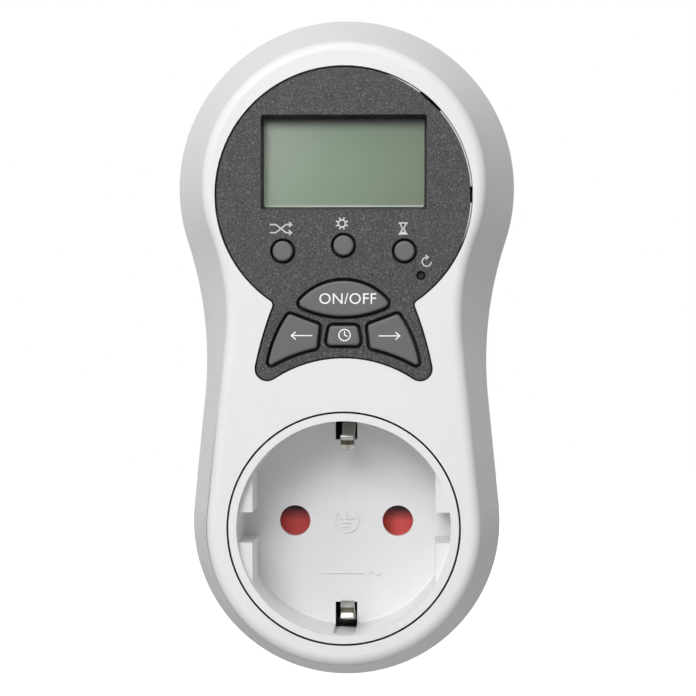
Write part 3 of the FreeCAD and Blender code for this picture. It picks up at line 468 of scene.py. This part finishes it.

# %% Painted highlight on the panel's edge and painted shade in its notches
PANEL_MIDDLE_Z = 59.3 * MM
PANEL_R = 22.8 * MM
EDGE_SOFT = 0.03 * MM
LEDGE_ANGLE, LEDGE_WIDTH = 24.0, 0.22 * MM      # degrees from the right, anticlockwise
LEDGE_OUT, LEDGE_FADE = 18.5 * MM, 3.0 * MM     # the painted highlight starts this far out
PAINTED_HIGHLIGHT_COLOUR = (0.8, 0.8, 0.8)
NOTCHES = ((47.0, 4.8 * MM, 0.15 * MM), (0.0, 2.8 * MM, 0.02 * MM))
NOTCH_DEPTH = 0.38 * MM
NOTCH_SHADE_COLOUR = (0.004, 0.004, 0.004)


def out_from_panel(tree, angle):
    """How far a point lies from the panel's middle, out at an angle and beside that line."""
    place = tree.nodes.new("ShaderNodeTexCoord")
    turned = tree.nodes.new("ShaderNodeMapping")
    turned.vector_type = "TEXTURE"
    turned.inputs["Location"].default_value = (0.0, 0.0, PANEL_MIDDLE_Z)
    turned.inputs["Rotation"].default_value = (0.0, math.radians(-angle), 0.0)
    axes = tree.nodes.new("ShaderNodeSeparateXYZ")
    tree.links.new(place.outputs["Object"], turned.inputs["Vector"])
    tree.links.new(turned.outputs["Vector"], axes.inputs["Vector"])
    return axes.outputs["X"], axes.outputs["Z"]


tree = finishes["grey_panel"].node_tree
out, beside = out_from_panel(tree, LEDGE_ANGLE)
from_middle = distance(tree, out, beside)
edge = band_mask(tree, from_middle, (PANEL_R - LEDGE_WIDTH, FAR), EDGE_SOFT)
highlight_at_upper_right = band_mask(tree, out, (LEDGE_OUT, FAR), LEDGE_FADE)
# Painted highlight along the panel's edge at the upper right
recolour("grey_panel", multiplied(tree, edge, highlight_at_upper_right), PAINTED_HIGHLIGHT_COLOUR)

# Each notch's painted shade has its angle, its length and how far it reaches beyond the edge
notches = []
for angle, length, reach in NOTCHES:
    out, beside = out_from_panel(tree, angle)
    cut = band_mask(tree, out, (PANEL_R - NOTCH_DEPTH, PANEL_R + reach), EDGE_SOFT)
    ends = band_mask(tree, beside, (-length / 2, length / 2), 0.1 * MM)
    notches.append(multiplied(tree, cut, ends))
# Painted shade: the notches are a black metal, so that they stay black
add_metal("grey_panel", NOTCH_SHADE_COLOUR, *notches)
print(len(notches), "notches in the panel's edge")

# %% Joint, crease and shutter
JOINT_R = (20.5 * MM, 20.82 * MM)
CREASE_DEPTH = (1.8 * MM, 2.7 * MM)
CREASE_R = 21.5 * MM        # the crease gets painted shade outside this distance from the axis
SHUTTER_Z, SHUTTER_FADE = 2.1 * MM, 2.4 * MM    # the shutter gets painted shade above this height

tree = finishes["white_plastic"].node_tree
side_x, depth_y, side_z = object_axes(tree)
from_axis = distance(tree, side_x, side_z)
near_front = band_mask(tree, depth_y, (FRONT_Y - 0.1 * MM, FRONT_Y + 3.0 * MM), 0.02 * MM)
joint = multiplied(tree, band_mask(tree, from_axis, JOINT_R, 0.03 * MM), near_front)
# Painted shade, with a little dust, in the joint round the socket's rim
recolour("white_plastic", joint, BLACK)

left = band_mask(tree, side_x, (-FAR, 4.0 * MM), 14.0 * MM)
low = band_mask(tree, side_z, (-FAR, 8.0 * MM), 14.0 * MM)
outside = band_mask(tree, from_axis, (CREASE_R, FAR), 0.5 * MM)
behind = band_mask(tree, depth_y, [FRONT_Y + depth for depth in CREASE_DEPTH], 0.3 * MM)
# Painted shade in the crease at the casing's lower left
recolour("white_plastic", multiplied(tree, behind, left, low, outside), (0.36, 0.36, 0.35))

tree = finishes["shutter_red"].node_tree
_, _, side_z = object_axes(tree)
# Painted shade: the shutter darkens upwards
painted_shade_above = band_mask(tree, side_z, (SHUTTER_Z, FAR), SHUTTER_FADE)
recolour("shutter_red", painted_shade_above, (0.025, 0.005, 0.005))
print("second colours on joint, crease and shutter")

# %% Metals
finish("zinc_steel", (0.62, 0.62, 0.60), 0.34, drift=0.08, drift_scale=800.0, Metallic=1.0)
finish("battery_steel", (0.66, 0.66, 0.65), 0.25, Metallic=1.0)
finish("spring_steel", (0.55, 0.55, 0.55), 0.25, Metallic=1.0)
finish("contact_brass", (0.80, 0.58, 0.26), 0.28, drift=0.05, drift_scale=300.0, Metallic=1.0)
finish("nickel_plate", (0.62, 0.61, 0.57), 0.24, drift=0.12,
       drift_scale=700.0, rub=0.1, Metallic=1.0)
finish("blackened_steel", (0.05, 0.05, 0.05), 0.5, drift=0.15, drift_scale=500.0, Metallic=0.6)
print(len(finishes), "finishes so far")

# %% [markdown]
# The nickel of the earth clips gets a painted dark reflection across the strip in front of
# the nose. Behind the nose it gets a painted dim reflection: a greyer colour, and most of
# it reflects like a plain surface.

# %% Painted reflections on the nickel
CLIP_DARK_BAND = (4.7 * MM, 5.4 * MM)        # depths behind the front
CLIP_DIM_RUN = (7.8 * MM, 27.0 * MM)
DIM_RUN_METAL = 0.15

tree = finishes["nickel_plate"].node_tree
_, depth_y, _ = object_axes(tree)
wear_and_dark_reflection = band_mask(tree, depth_y, [FRONT_Y + depth for depth in CLIP_DARK_BAND], 0.3 * MM)
# Painted dark reflection across the strip in front of the nose
recolour("nickel_plate", wear_and_dark_reflection, (0.09, 0.085, 0.065))
dim_reflection = band_mask(tree, depth_y, [FRONT_Y + depth for depth in CLIP_DIM_RUN], 0.8 * MM)
# Painted dim reflection behind the nose, with less Metallic
recolour("nickel_plate", dim_reflection, (0.4, 0.4, 0.34))
less_metal = tree.nodes.new("ShaderNodeMapRange")
less_metal.inputs["To Min"].default_value = 1.0
less_metal.inputs["To Max"].default_value = DIM_RUN_METAL
tree.links.new(dim_reflection, less_metal.inputs["Value"])
tree.links.new(less_metal.outputs["Result"], tree.nodes["Principled BSDF"].inputs["Metallic"])

# %% [markdown]
# ## Marks on the inner components
#
# Under the casing are bought components, and each has the marks of its kind: colour
# bands and tinned leads on the resistors, a ring at one end of each diode, metal caps on
# the fuse, a pale stripe and a bare top on the capacitor, and tracks under the boards'
# green lacquer. Each mark is a second colour inside a box of places, and metal parts get
# the same mask on Metallic.

# %% Marks by place


def region(tree, x=None, y=None, z=None, soft=0.04 * MM):
    """1 inside a box whose edges are given in millimetres for some of the axes."""
    bands = []
    for value, edges in zip(object_axes(tree), (x, y, z)):
        if edges is not None:
            low, high = edges
            bands.append(band_mask(tree, value, (low * MM, high * MM), soft))
    return multiplied(tree, *bands)


TIN = (0.62, 0.62, 0.60)

# Resistors: four colour bands and the leads
BANDS = ((-1.0, (0.10, 0.03, 0.01)), (0.3, (0.01, 0.01, 0.01)), (1.6, (0.55, 0.10, 0.01)),
         (3.6, (0.45, 0.30, 0.06)))
HALF_BAND = 0.28
tree = finishes["resistor_lacquer"].node_tree
for place, colour in BANDS:
    band = region(tree, x=(place - HALF_BAND, place + HALF_BAND))
    recolour("resistor_lacquer", band, colour)
add_metal("resistor_lacquer", TIN, region(tree, x=(-20, -2.02)), region(tree, x=(5.02, 20)))

# Diodes: the ring and the leads
tree = finishes["black_resin"].node_tree
recolour("black_resin", region(tree, x=(6, 16), y=(-27, -24), z=(58.3, 58.9)),
         (0.5, 0.5, 0.5))
add_metal("black_resin", TIN, region(tree, x=(6, 16), y=(-27, -23), z=(50, 57.58)),
          region(tree, x=(6, 16), y=(-27, -23), z=(62.02, 70)))

# Fuse: its two caps
tree = finishes["switch_plastic"].node_tree
add_metal("switch_plastic", TIN, region(tree, x=(-20, -0.4), y=(-30, -23)),
          region(tree, x=(6.4, 20), y=(-30, -23)))

# Smoothing capacitor: the stripe and the bare top
tree = finishes["capacitor_sleeve"].node_tree
recolour("capacitor_sleeve", region(tree, x=(15.4, 20)), (0.45, 0.47, 0.5))
add_metal("capacitor_sleeve", TIN, region(tree, y=(-40, -35.3)))

# Boards: the tracks under the lacquer
tree = finishes["circuit_board"].node_tree
place = tree.nodes.new("ShaderNodeTexCoord")
on_board = tree.nodes.new("ShaderNodeMapping")
on_board.inputs["Rotation"].default_value = (math.radians(90), 0.0, 0.0)
tracks = tree.nodes.new("ShaderNodeTexBrick")
for label, value in (("Scale", 1.0), ("Mortar Size", 0.28 * MM), ("Mortar Smooth", 0.1),
                     ("Brick Width", 7.3 * MM), ("Row Height", 2.6 * MM)):
    tracks.inputs[label].default_value = value
tree.links.new(place.outputs["Object"], on_board.inputs["Vector"])
tree.links.new(on_board.outputs["Vector"], tracks.inputs["Vector"])
recolour("circuit_board", tracks.outputs["Fac"], (0.05, 0.25, 0.09))
print("marks on resistors, diodes, fuse, capacitor and boards")

# %% [markdown]
# ## Display and window
#
# The display is switched off, so it shows the grey green of its rear polariser. Its colour
# runs lighter and a little bluer at the upper left than at the lower right. Its left and
# lower edges get a painted highlight, and its upper edge under the frame a painted shade. A
# clear window covers it. Glass in Cycles blocks lamps, so shadow rays pass through a
# Transparent shader instead.

# %% Display
CELL_LEFT_X, CELL_LOW_Z = -14.2 * MM, 57.5 * MM
SHADE_Z, SHADE_SOFT = 72.95 * MM, 1.35 * MM     # the shade under the frame
TINT_START, TINT_ANGLE, TINT_SCALE = 1.55, -32.0, 30.0      # the tints run over 1 / 30 m
TINTS = ((0.0, (0.57, 0.625, 0.55)), (0.45, (0.375, 0.49, 0.37)), (1.0, (0.30, 0.36, 0.255)))

finish("display_glass", (0.35, 0.45, 0.35), 0.32, grain_height=0.001 * MM)
tree = finishes["display_glass"].node_tree
place = tree.nodes.new("ShaderNodeTexCoord")
across = tree.nodes.new("ShaderNodeMapping")
across.inputs["Location"].default_value = (TINT_START, 0.0, 0.0)
across.inputs["Rotation"].default_value = (0.0, math.radians(TINT_ANGLE), 0.0)
across.inputs["Scale"].default_value = (TINT_SCALE, TINT_SCALE, TINT_SCALE)
along = tree.nodes.new("ShaderNodeSeparateXYZ")
tint = tree.nodes.new("ShaderNodeValToRGB")
tint.color_ramp.elements.new(TINTS[1][0])
for element, (position, colour) in zip(tint.color_ramp.elements, TINTS):
    element.position = position
    element.color = (*colour, 1.0)
tree.links.new(place.outputs["Object"], across.inputs["Vector"])
tree.links.new(across.outputs["Vector"], along.inputs["Vector"])
tree.links.new(along.outputs["X"], tint.inputs["Fac"])
tree.links.new(tint.outputs["Color"], tree.nodes["Principled BSDF"].inputs["Base Color"])
side_x, _, side_z = object_axes(tree)
# Painted highlight along the display's left and lower edges
for value, edge in ((side_x, CELL_LEFT_X), (side_z, CELL_LOW_Z)):
    edge_highlight = band_mask(tree, value, (-FAR, edge), 0.12 * MM)
    recolour("display_glass", edge_highlight, (0.68, 0.73, 0.66))
# Painted shade along the display's upper edge, under the frame
shade = band_mask(tree, side_z, (SHADE_Z, FAR), SHADE_SOFT)
recolour("display_glass", shade, (0.18, 0.22, 0.17))
print("display with", len(TINTS), "tints")

# %% Window
clear = bpy.data.materials.new("clear_window")
clear.use_nodes = True
tree = clear.node_tree
glass = tree.nodes["Principled BSDF"]
glass.inputs["Base Color"].default_value = (1, 1, 1, 1)
glass.inputs["Roughness"].default_value = 0.03
glass.inputs["IOR"].default_value = 1.49
glass.inputs["Transmission Weight"].default_value = 1.0
rays = tree.nodes.new("ShaderNodeLightPath").outputs
through = tree.nodes.new("ShaderNodeBsdfTransparent")
shadow_mix = tree.nodes.new("ShaderNodeMixShader")
tree.links.new(rays["Is Shadow Ray"], shadow_mix.inputs["Fac"])
tree.links.new(glass.outputs[0], shadow_mix.inputs[1])
tree.links.new(through.outputs[0], shadow_mix.inputs[2])
tree.links.new(shadow_mix.outputs[0], tree.nodes["Material Output"].inputs["Surface"])
finishes["clear_window"] = clear
print(len(finishes), "finishes for the CAD parts")

# %% Dress the CAD parts
slot_of = {}
for entry in frame["record"]["materials"]:
    for node in entry.get("nodes", []):
        slot_of[node] = entry["slot"]
for name, part in frame["nodes"].items():
    wanted = slot_of.get(name)
    if wanted is None and part.data.materials:
        wanted = part.data.materials[0].name.split(".")[0]
    if wanted not in finishes:
        raise RuntimeError("no finish for " + name + ": " + str(wanted))
    part.data.materials.clear()
    part.data.materials.append(finishes[wanted])
print("dressed", len(frame["nodes"]), "parts")

# %% [markdown]
# ## Tools for the new pieces
#
# The pieces that CAD leaves plain are modelled as by hand: a primitive, then edit mode
# operators, then modifiers that are applied. Every operator works on what is selected,
# so each step first says what that is. The helpers below select, apply and place.

# %% Selection and finishing helpers
TINY = 0.0001 * MM          # places that lie closer than this are the same
MERGE = 0.001 * MM          # vertices that lie closer than this are merged


def only(obj):
    """Makes one object the only selected and the active one."""
    bpy.ops.object.select_all(action="DESELECT")
    obj.select_set(True)
    bpy.context.view_layer.objects.active = obj


def edit(obj, kind="VERT"):
    """Opens edit mode with everything selected."""
    only(obj)
    bpy.ops.object.mode_set(mode="EDIT")
    bpy.ops.mesh.select_mode(type=kind)
    bpy.ops.mesh.select_all(action="SELECT")


def leave():
    bpy.ops.object.mode_set(mode="OBJECT")


def pick(obj, kind, test):
    """In edit mode, selects the vertices or edges whose middle passes the test."""
    bpy.ops.mesh.select_all(action="DESELECT")
    leave()
    mesh = obj.data
    for item in {"VERT": mesh.vertices, "EDGE": mesh.edges}[kind]:
        if kind == "VERT":
            middle = item.co
        else:
            middle = sum((mesh.vertices[i].co for i in item.vertices), Vector()) / 2
        item.select = test(middle)
    bpy.ops.object.mode_set(mode="EDIT")
    bpy.ops.mesh.select_mode(type=kind)


def apply_place(obj):
    only(obj)
    bpy.ops.object.transform_apply(location=True, rotation=True, scale=True)


def apply_modifiers(obj):
    only(obj)
    for modifier in list(obj.modifiers):
        bpy.ops.object.modifier_apply(modifier=modifier.name)


def face_outwards(obj):
    edit(obj)
    bpy.ops.mesh.remove_doubles(threshold=MERGE)
    bpy.ops.mesh.normals_make_consistent(inside=False)
    leave()


def complete(obj, name, look, body, smooth=30.0):
    """Names a piece, gives it a finish and hangs it on its body."""
    obj.name = name
    obj.data.name = name
    obj.data.materials.clear()
    obj.data.materials.append(finishes[look])
    only(obj)
    bpy.ops.object.shade_smooth_by_angle(angle=math.radians(smooth))
    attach(obj, body)


# %% [markdown]
# ## Printed signs
#
# The panel and the keys carry pale printed signs. Real ones are a film of ink a few
# hundredths of a millimetre thick, which catches the light like the plastic round it. A
# texture could paint them, but real thin shapes stay sharp at any distance. So each
# sign is drawn with strokes: straight bars and arcs with a flat front, united into one
# thin plate. All the signs are plain ones: arrows, a cog, an hourglass and a clock face.

# %% Strokes
INK = 0.03 * MM             # thickness of the printed film
INK_IN = 0.01 * MM          # how deep it starts inside the plastic
STROKE = 0.25 * MM
KEY_STROKE = 0.2 * MM
STEP_BACK = 0.0007 * MM     # each stroke lies this much deeper, so that no faces coincide
ROUND = 0.45                # share of its width by which a stroke's corners are rounded
BARB_ANGLE = 40             # degrees between an arrow and each of its short strokes


def bar(start, end, width=STROKE, front=PANEL_Y, depth=INK):
    """A straight stroke with round ends, from one (x, z) place to another."""
    (x0, z0), (x1, z1) = start, end
    length = math.hypot(x1 - x0, z1 - z0) + width
    bpy.ops.mesh.primitive_cube_add(size=1)
    obj = bpy.context.object
    obj.scale = (length, depth + INK_IN, width)
    apply_place(obj)
    edit(obj, "EDGE")
    pick(obj, "EDGE", lambda middle: abs(abs(middle.x) - length / 2) < TINY
         and abs(abs(middle.z) - width / 2) < TINY)
    bpy.ops.mesh.bevel(offset=width * ROUND, segments=3)
    leave()
    obj.rotation_euler = (0, -math.atan2(z1 - z0, x1 - x0), 0)
    obj.location = ((x0 + x1) / 2, front + (INK_IN - depth) / 2, (z0 + z1) / 2)
    apply_place(obj)
    return obj


def arc(centre, radius, start, sweep, width=STROKE, front=PANEL_Y, depth=INK, steps=28):
    """A round stroke. Angles are in degrees, anticlockwise as seen from the front."""
    x, z = centre
    bpy.ops.mesh.primitive_plane_add(size=1)
    obj = bpy.context.object
    obj.scale = (width, depth + INK_IN, 1)
    apply_place(obj)
    edit(obj)
    bpy.ops.transform.translate(value=(radius, (INK_IN - depth) / 2, 0))
    bpy.ops.mesh.spin(steps=steps, angle=math.radians(sweep), center=(0, 0, 0), axis=(0, 1, 0))
    bpy.ops.mesh.select_all(action="SELECT")
    bpy.ops.mesh.remove_doubles(threshold=MERGE)
    leave()
    obj.rotation_euler = (0, -math.radians(start), 0)
    obj.location = (x, front, z)
    apply_place(obj)
    face_outwards(obj)
    return obj


def ring(centre, radius, width=STROKE, front=PANEL_Y, depth=INK, steps=32):
    """A full round stroke: a circle widened to a flat band, which then gets thick."""
    x, z = centre
    inner, outer = radius - width / 2, radius + width / 2
    bpy.ops.mesh.primitive_circle_add(vertices=steps, radius=inner, fill_type="NOTHING")
    obj = bpy.context.object
    edit(obj, "EDGE")
    bpy.ops.mesh.extrude_edges_move()
    bpy.ops.transform.resize(value=(outer / inner, outer / inner, 1))
    leave()
    thick = obj.modifiers.new("thickness", "SOLIDIFY")
    thick.thickness = depth + INK_IN
    thick.offset = 0.0
    apply_modifiers(obj)
    obj.rotation_euler = (math.radians(90), 0, 0)
    obj.location = (x, front + (INK_IN - depth) / 2, z)
    apply_place(obj)
    face_outwards(obj)
    return obj


def arrow_head(tip, angle, reach, width=STROKE, **place):
    """The two short strokes of an arrow whose tip points at the angle."""
    strokes = []
    for side in (-1, 1):
        back = math.radians(angle + 180 + side * BARB_ANGLE)
        end = (tip[0] + reach * math.cos(back), tip[1] + reach * math.sin(back))
        strokes.append(bar(tip, end, width, **place))
    return strokes


def united(strokes):
    """One plate out of strokes that overlap."""
    whole = strokes[0]
    for count, stroke in enumerate(strokes[1:], 1):
        stroke.location.y = count * STEP_BACK
        apply_place(stroke)
        union = whole.modifiers.new("union", "BOOLEAN")
        union.operation = "UNION"
        union.solver = "EXACT"
        union.object = stroke
        apply_modifiers(whole)
        bpy.data.objects.remove(stroke)
    return whole


def add_sign(name, strokes, look="printed_ink", body="housing"):
    """Unites strokes into a printed sign on a body."""
    complete(united(strokes), name, look, body)


print("printed film", round(INK / MM, 3), "mm thick")

# %% [markdown]
# Printed ink is matt and has finishes of its own. On the panel it is a worn grey, and on
# the keys it is nearly white.

# %% Inks
finish("printed_ink", (0.60, 0.60, 0.59), 0.55, drift=0.06, drift_scale=900.0,
       grain_height=0.006 * MM)
finish("key_ink", (0.97, 0.97, 0.96), 0.5, drift=0.04, drift_scale=900.0,
       grain_height=0.006 * MM)
print(len(finishes), "finishes with the two inks")

# %% Signs on the panel
HEAD = 0.55 * MM            # reach of an arrow's two short strokes

# Two lines that cross, for random times
x, z = -10.98 * MM, 53.3 * MM
strokes = []
for side in (-1, 1):
    places = [(-2.0, -0.72 * side), (-1.05, -0.72 * side), (0.75, 0.72 * side),
              (1.75, 0.72 * side)]
    places = [(x + a * MM, z + b * MM) for a, b in places]
    strokes += [bar(first, second) for first, second in zip(places, places[1:])]
    strokes += arrow_head(places[-1], 0, HEAD)
add_sign("sign_random", strokes)

# A cog, for settings
x, z = -0.3 * MM, 54.2 * MM
near, far, teeth = 0.68 * MM, 1.0 * MM, 8
strokes = [ring((x, z), 0.62 * MM)]
for tooth in range(teeth):
    angle = math.radians((tooth + 0.5) * 360 / teeth)
    strokes.append(bar((x + near * math.cos(angle), z + near * math.sin(angle)),
                       (x + far * math.cos(angle), z + far * math.sin(angle)), 0.3 * MM))
add_sign("sign_settings", strokes)

# An hourglass, for counting down
x, z = 10.57 * MM, 53.3 * MM
wide, high, waist = 0.72 * MM, 0.98 * MM, 0.12 * MM
strokes = [bar((x - wide, z + side * high), (x + wide, z + side * high)) for side in (-1, 1)]
for side in (-1, 1):
    for half in (-1, 1):
        strokes.append(bar((x + side * wide * 0.8, z + half * high), (x + side * waist, z)))
strokes.append(bar((x - 0.3 * MM, z - 0.72 * MM), (x + 0.3 * MM, z - 0.72 * MM), 0.3 * MM))
add_sign("sign_countdown", strokes)

# An arrow that runs round, for the reset pin
x, z = 14.75 * MM, 47.4 * MM
turn_r, line = 0.8 * MM, 0.22 * MM
tip = (x + 0.28 * MM, z + turn_r)
strokes = [arc((x, z), turn_r, 95, 265, line), bar((x - 0.05 * MM, z + turn_r), tip, line)]
strokes += arrow_head(tip, 0, HEAD, line)
add_sign("sign_reset", strokes)
print("four signs on the panel")

# %% Signs on the keys
on_key = {"width": KEY_STROKE, "front": KEY_Y}

# An arrow on each wing: its tip, its tail and its height, in millimetres
for name, tip_x, tail_x, height in (("left", -9.25, -5.6, 34.3), ("right", 10.0, 6.35, 34.25)):
    tip, tail = (tip_x * MM, height * MM), (tail_x * MM, height * MM)
    angle = 0 if tip_x > tail_x else 180
    strokes = [bar(tail, tip, **on_key)] + arrow_head(tip, angle, 0.95 * MM, **on_key)
    add_sign("sign_" + name, strokes, "key_ink", "key_" + name)

# A clock face with its two hands
x, z = 0.2 * MM, 34.4 * MM
strokes = [ring((x, z), 1.0 * MM, **on_key),
           bar((x, z), (x, z + 0.62 * MM), **on_key),
           bar((x, z), (x + 0.45 * MM, z - 0.22 * MM), **on_key)]
add_sign("sign_clock", strokes, "key_ink", "key_time")
print("three signs on the keys")

# %% Words on the wide key
bpy.ops.object.text_add()
words = bpy.context.object
words.data.body = "ON/OFF"
words.data.align_x = "CENTER"
words.data.align_y = "CENTER"
words.data.size = 2.75 * MM
words.data.space_character = 1.04
words.data.extrude = (INK + INK_IN) / 2
words.data.resolution_u = 4
only(words)
bpy.ops.object.convert(target="MESH")
words = bpy.context.object
words.rotation_euler = (math.radians(90), 0, 0)
words.location = (0.75 * MM, KEY_Y + (INK_IN - INK) / 2, 40.75 * MM)
apply_place(words)
face_outwards(words)
complete(words, "sign_manual", "key_ink", "key_manual")
print("sign on the wide key is", [round(v / MM, 2) for v in words.dimensions], "mm")

# %% [markdown]
# ## Raised signs on the recess floor
#
# The mould raises an earth sign between the holes and a bar with a wave below it. They
# are as white as the floor and show only by their soft edges, so each stroke is rounded
# with a bevel.

# %% Earth sign and wave
RECESS_FLOOR_Y = -37.5 * MM
RAISED = 0.25 * MM
on_floor = {"front": RECESS_FLOOR_Y, "depth": RAISED}


def soften(obj, width, segments=2, angle=40.0):
    bevel = obj.modifiers.new("soft", "BEVEL")
    bevel.width = width
    bevel.segments = segments
    bevel.limit_method = "ANGLE"
    bevel.angle_limit = math.radians(angle)
    apply_modifiers(obj)


x, z = 0.0, 0.0
line = 0.34 * MM
strokes = [arc((x, z), 2.15 * MM, 130, 280, line, **on_floor),
           bar((x, z + 1.75 * MM), (x, z + 0.45 * MM), line, **on_floor)]
for drop, half in ((-0.45, 1.25), (0.3, 0.9), (1.05, 0.5)):
    height = z - drop * MM
    strokes.append(bar((x - half * MM, height), (x + half * MM, height), line, **on_floor))
raised_signs = [("raised_earth_sign", strokes, 0.05 * MM)]

z = -9.6 * MM
strokes = [bar((-4.6 * MM, z), (3.1 * MM, z), 0.3 * MM, **on_floor)]
raised_signs.append(("raised_bar", strokes, 0.04 * MM))

WAVE_STEPS = 8
wave = []
for step in range(WAVE_STEPS + 1):
    share = step / WAVE_STEPS
    wave.append(((4.3 + 2.0 * share) * MM, z + 0.35 * MM * math.sin(2 * math.pi * share)))
strokes = [bar(first, second, 0.36 * MM, **on_floor) for first, second in zip(wave, wave[1:])]
raised_signs.append(("raised_wave", strokes, 0.04 * MM))

for name, strokes, softness in raised_signs:
    raised = united(strokes)
    soften(raised, softness)
    complete(raised, name, "white_plastic", "housing")
print(len(raised_signs), "raised signs")

# %% [markdown]
# ## Earth clips
#
# Each earth clip is a strip of nickel-plated spring metal, bent in a press: it runs
# forward beside the recess, turns in to its nose, which touches the appliance's plug,
# and turns out again. A strip is drawn the way it is bent: an edge as wide as the strip
# is extruded along each straight run and spun round each bend. Solidify gives it its
# thickness, and a bevel the soft edges that a stamped strip gets when it is tumbled.

# %% Bent strips


def bent_strip(points, width, thickness, bend_r, steps=8):
    """A strip along points (y, z), with its bends rounded to a radius at the middle."""
    path = [Vector((0, y, z)) for y, z in points]
    bpy.ops.mesh.primitive_plane_add(size=1)
    obj = bpy.context.object
    edit(obj)
    pick(obj, "VERT", lambda middle: middle.y > 0)
    bpy.ops.mesh.delete(type="VERT")
    bpy.ops.mesh.select_all(action="SELECT")
    bpy.ops.transform.resize(value=(width, 1, 1))
    bpy.ops.transform.translate(value=path[0] - Vector((0, -0.5, 0)))
    place = path[0]
    for here, corner, following in zip(path, path[1:], path[2:]):
        before, after = (corner - here).normalized(), (following - corner).normalized()
        turn = before.angle(after)
        reach = bend_r * math.tan(turn / 2)
        side = before.cross(after).normalized()
        run_end = corner - before * reach
        bpy.ops.mesh.extrude_edges_move(TRANSFORM_OT_translate={"value": run_end - place})
        middle = run_end + side.cross(before) * bend_r
        bpy.ops.mesh.spin(steps=steps, angle=-turn, center=middle, axis=side)
        place = corner + after * reach
    bpy.ops.mesh.extrude_edges_move(TRANSFORM_OT_translate={"value": path[-1] - place})
    leave()
    face_outwards(obj)
    thick = obj.modifiers.new("thickness", "SOLIDIFY")
    thick.thickness = thickness
    thick.offset = 0.0
    apply_modifiers(obj)
    return obj


CLIP_OFF = 0.5 * MM         # the clips lean a little to the right in their slots
CLIP_WIDTH, CLIP_THICK, CLIP_BEND_R = 2.4 * MM, 0.5 * MM, 0.9 * MM

# From foot to tip: the distance from the socket's axis and the depth behind the front
CLIP_BENDS = ((18.0, 24.2), (18.0, 17.0), (13.6, 7.0), (16.4, 4.0))

for side, name in ((1, "upper"), (-1, "lower")):
    places = [(FRONT_Y + depth * MM, side * r * MM) for r, depth in CLIP_BENDS]
    clip = bent_strip(places, CLIP_WIDTH, CLIP_THICK, CLIP_BEND_R)
    clip.location.x = CLIP_OFF
    apply_place(clip)
    soften(clip, 0.13 * MM, 3)
    node = name + "_earth_clip"
    complete(clip, "bent_" + node, "nickel_plate", node)
    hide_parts(node)

# %% [markdown]
# ## Shutter spring
#
# A small compression spring holds the shutter down over the holes. A ring of wire is
# swept up round the spring's axis by the Screw modifier, with the wire's section made
# from a circle. The end turns of a real spring lie flat, which shows only in a section.

# %% Spring
SPRING_AXIS_Y = -33.25 * MM
SPRING_LOW, SPRING_HIGH = 5.18 * MM, 13.82 * MM
COIL_R, WIRE_R, TURNS = 1.5 * MM, 0.18 * MM, 6
WIRE_SIDES, STEPS_PER_TURN = 10, 28

bpy.ops.mesh.primitive_circle_add(vertices=WIRE_SIDES, radius=WIRE_R, fill_type="NGON")
spring = bpy.context.object
spring.rotation_euler = (math.radians(90), 0, 0)
spring.location = (COIL_R, 0, 0)
apply_place(spring)
coil = spring.modifiers.new("coil", "SCREW")
coil.axis = "Z"
coil.angle = math.radians(360 * TURNS)
coil.screw_offset = SPRING_HIGH - SPRING_LOW
coil.steps = STEPS_PER_TURN * TURNS
coil.render_steps = STEPS_PER_TURN * TURNS
coil.use_merge_vertices = False
apply_modifiers(spring)
spring.location = (0, SPRING_AXIS_Y, SPRING_LOW)
apply_place(spring)
edit(spring, "EDGE")
bpy.ops.mesh.fill_holes(sides=WIRE_SIDES)       # the wire's two ends
leave()
face_outwards(spring)
complete(spring, "coiled_spring", "spring_steel", "housing", 60.0)
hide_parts("shutter_spring")
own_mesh(spring)
print("spring", len(spring.data.polygons), "faces")
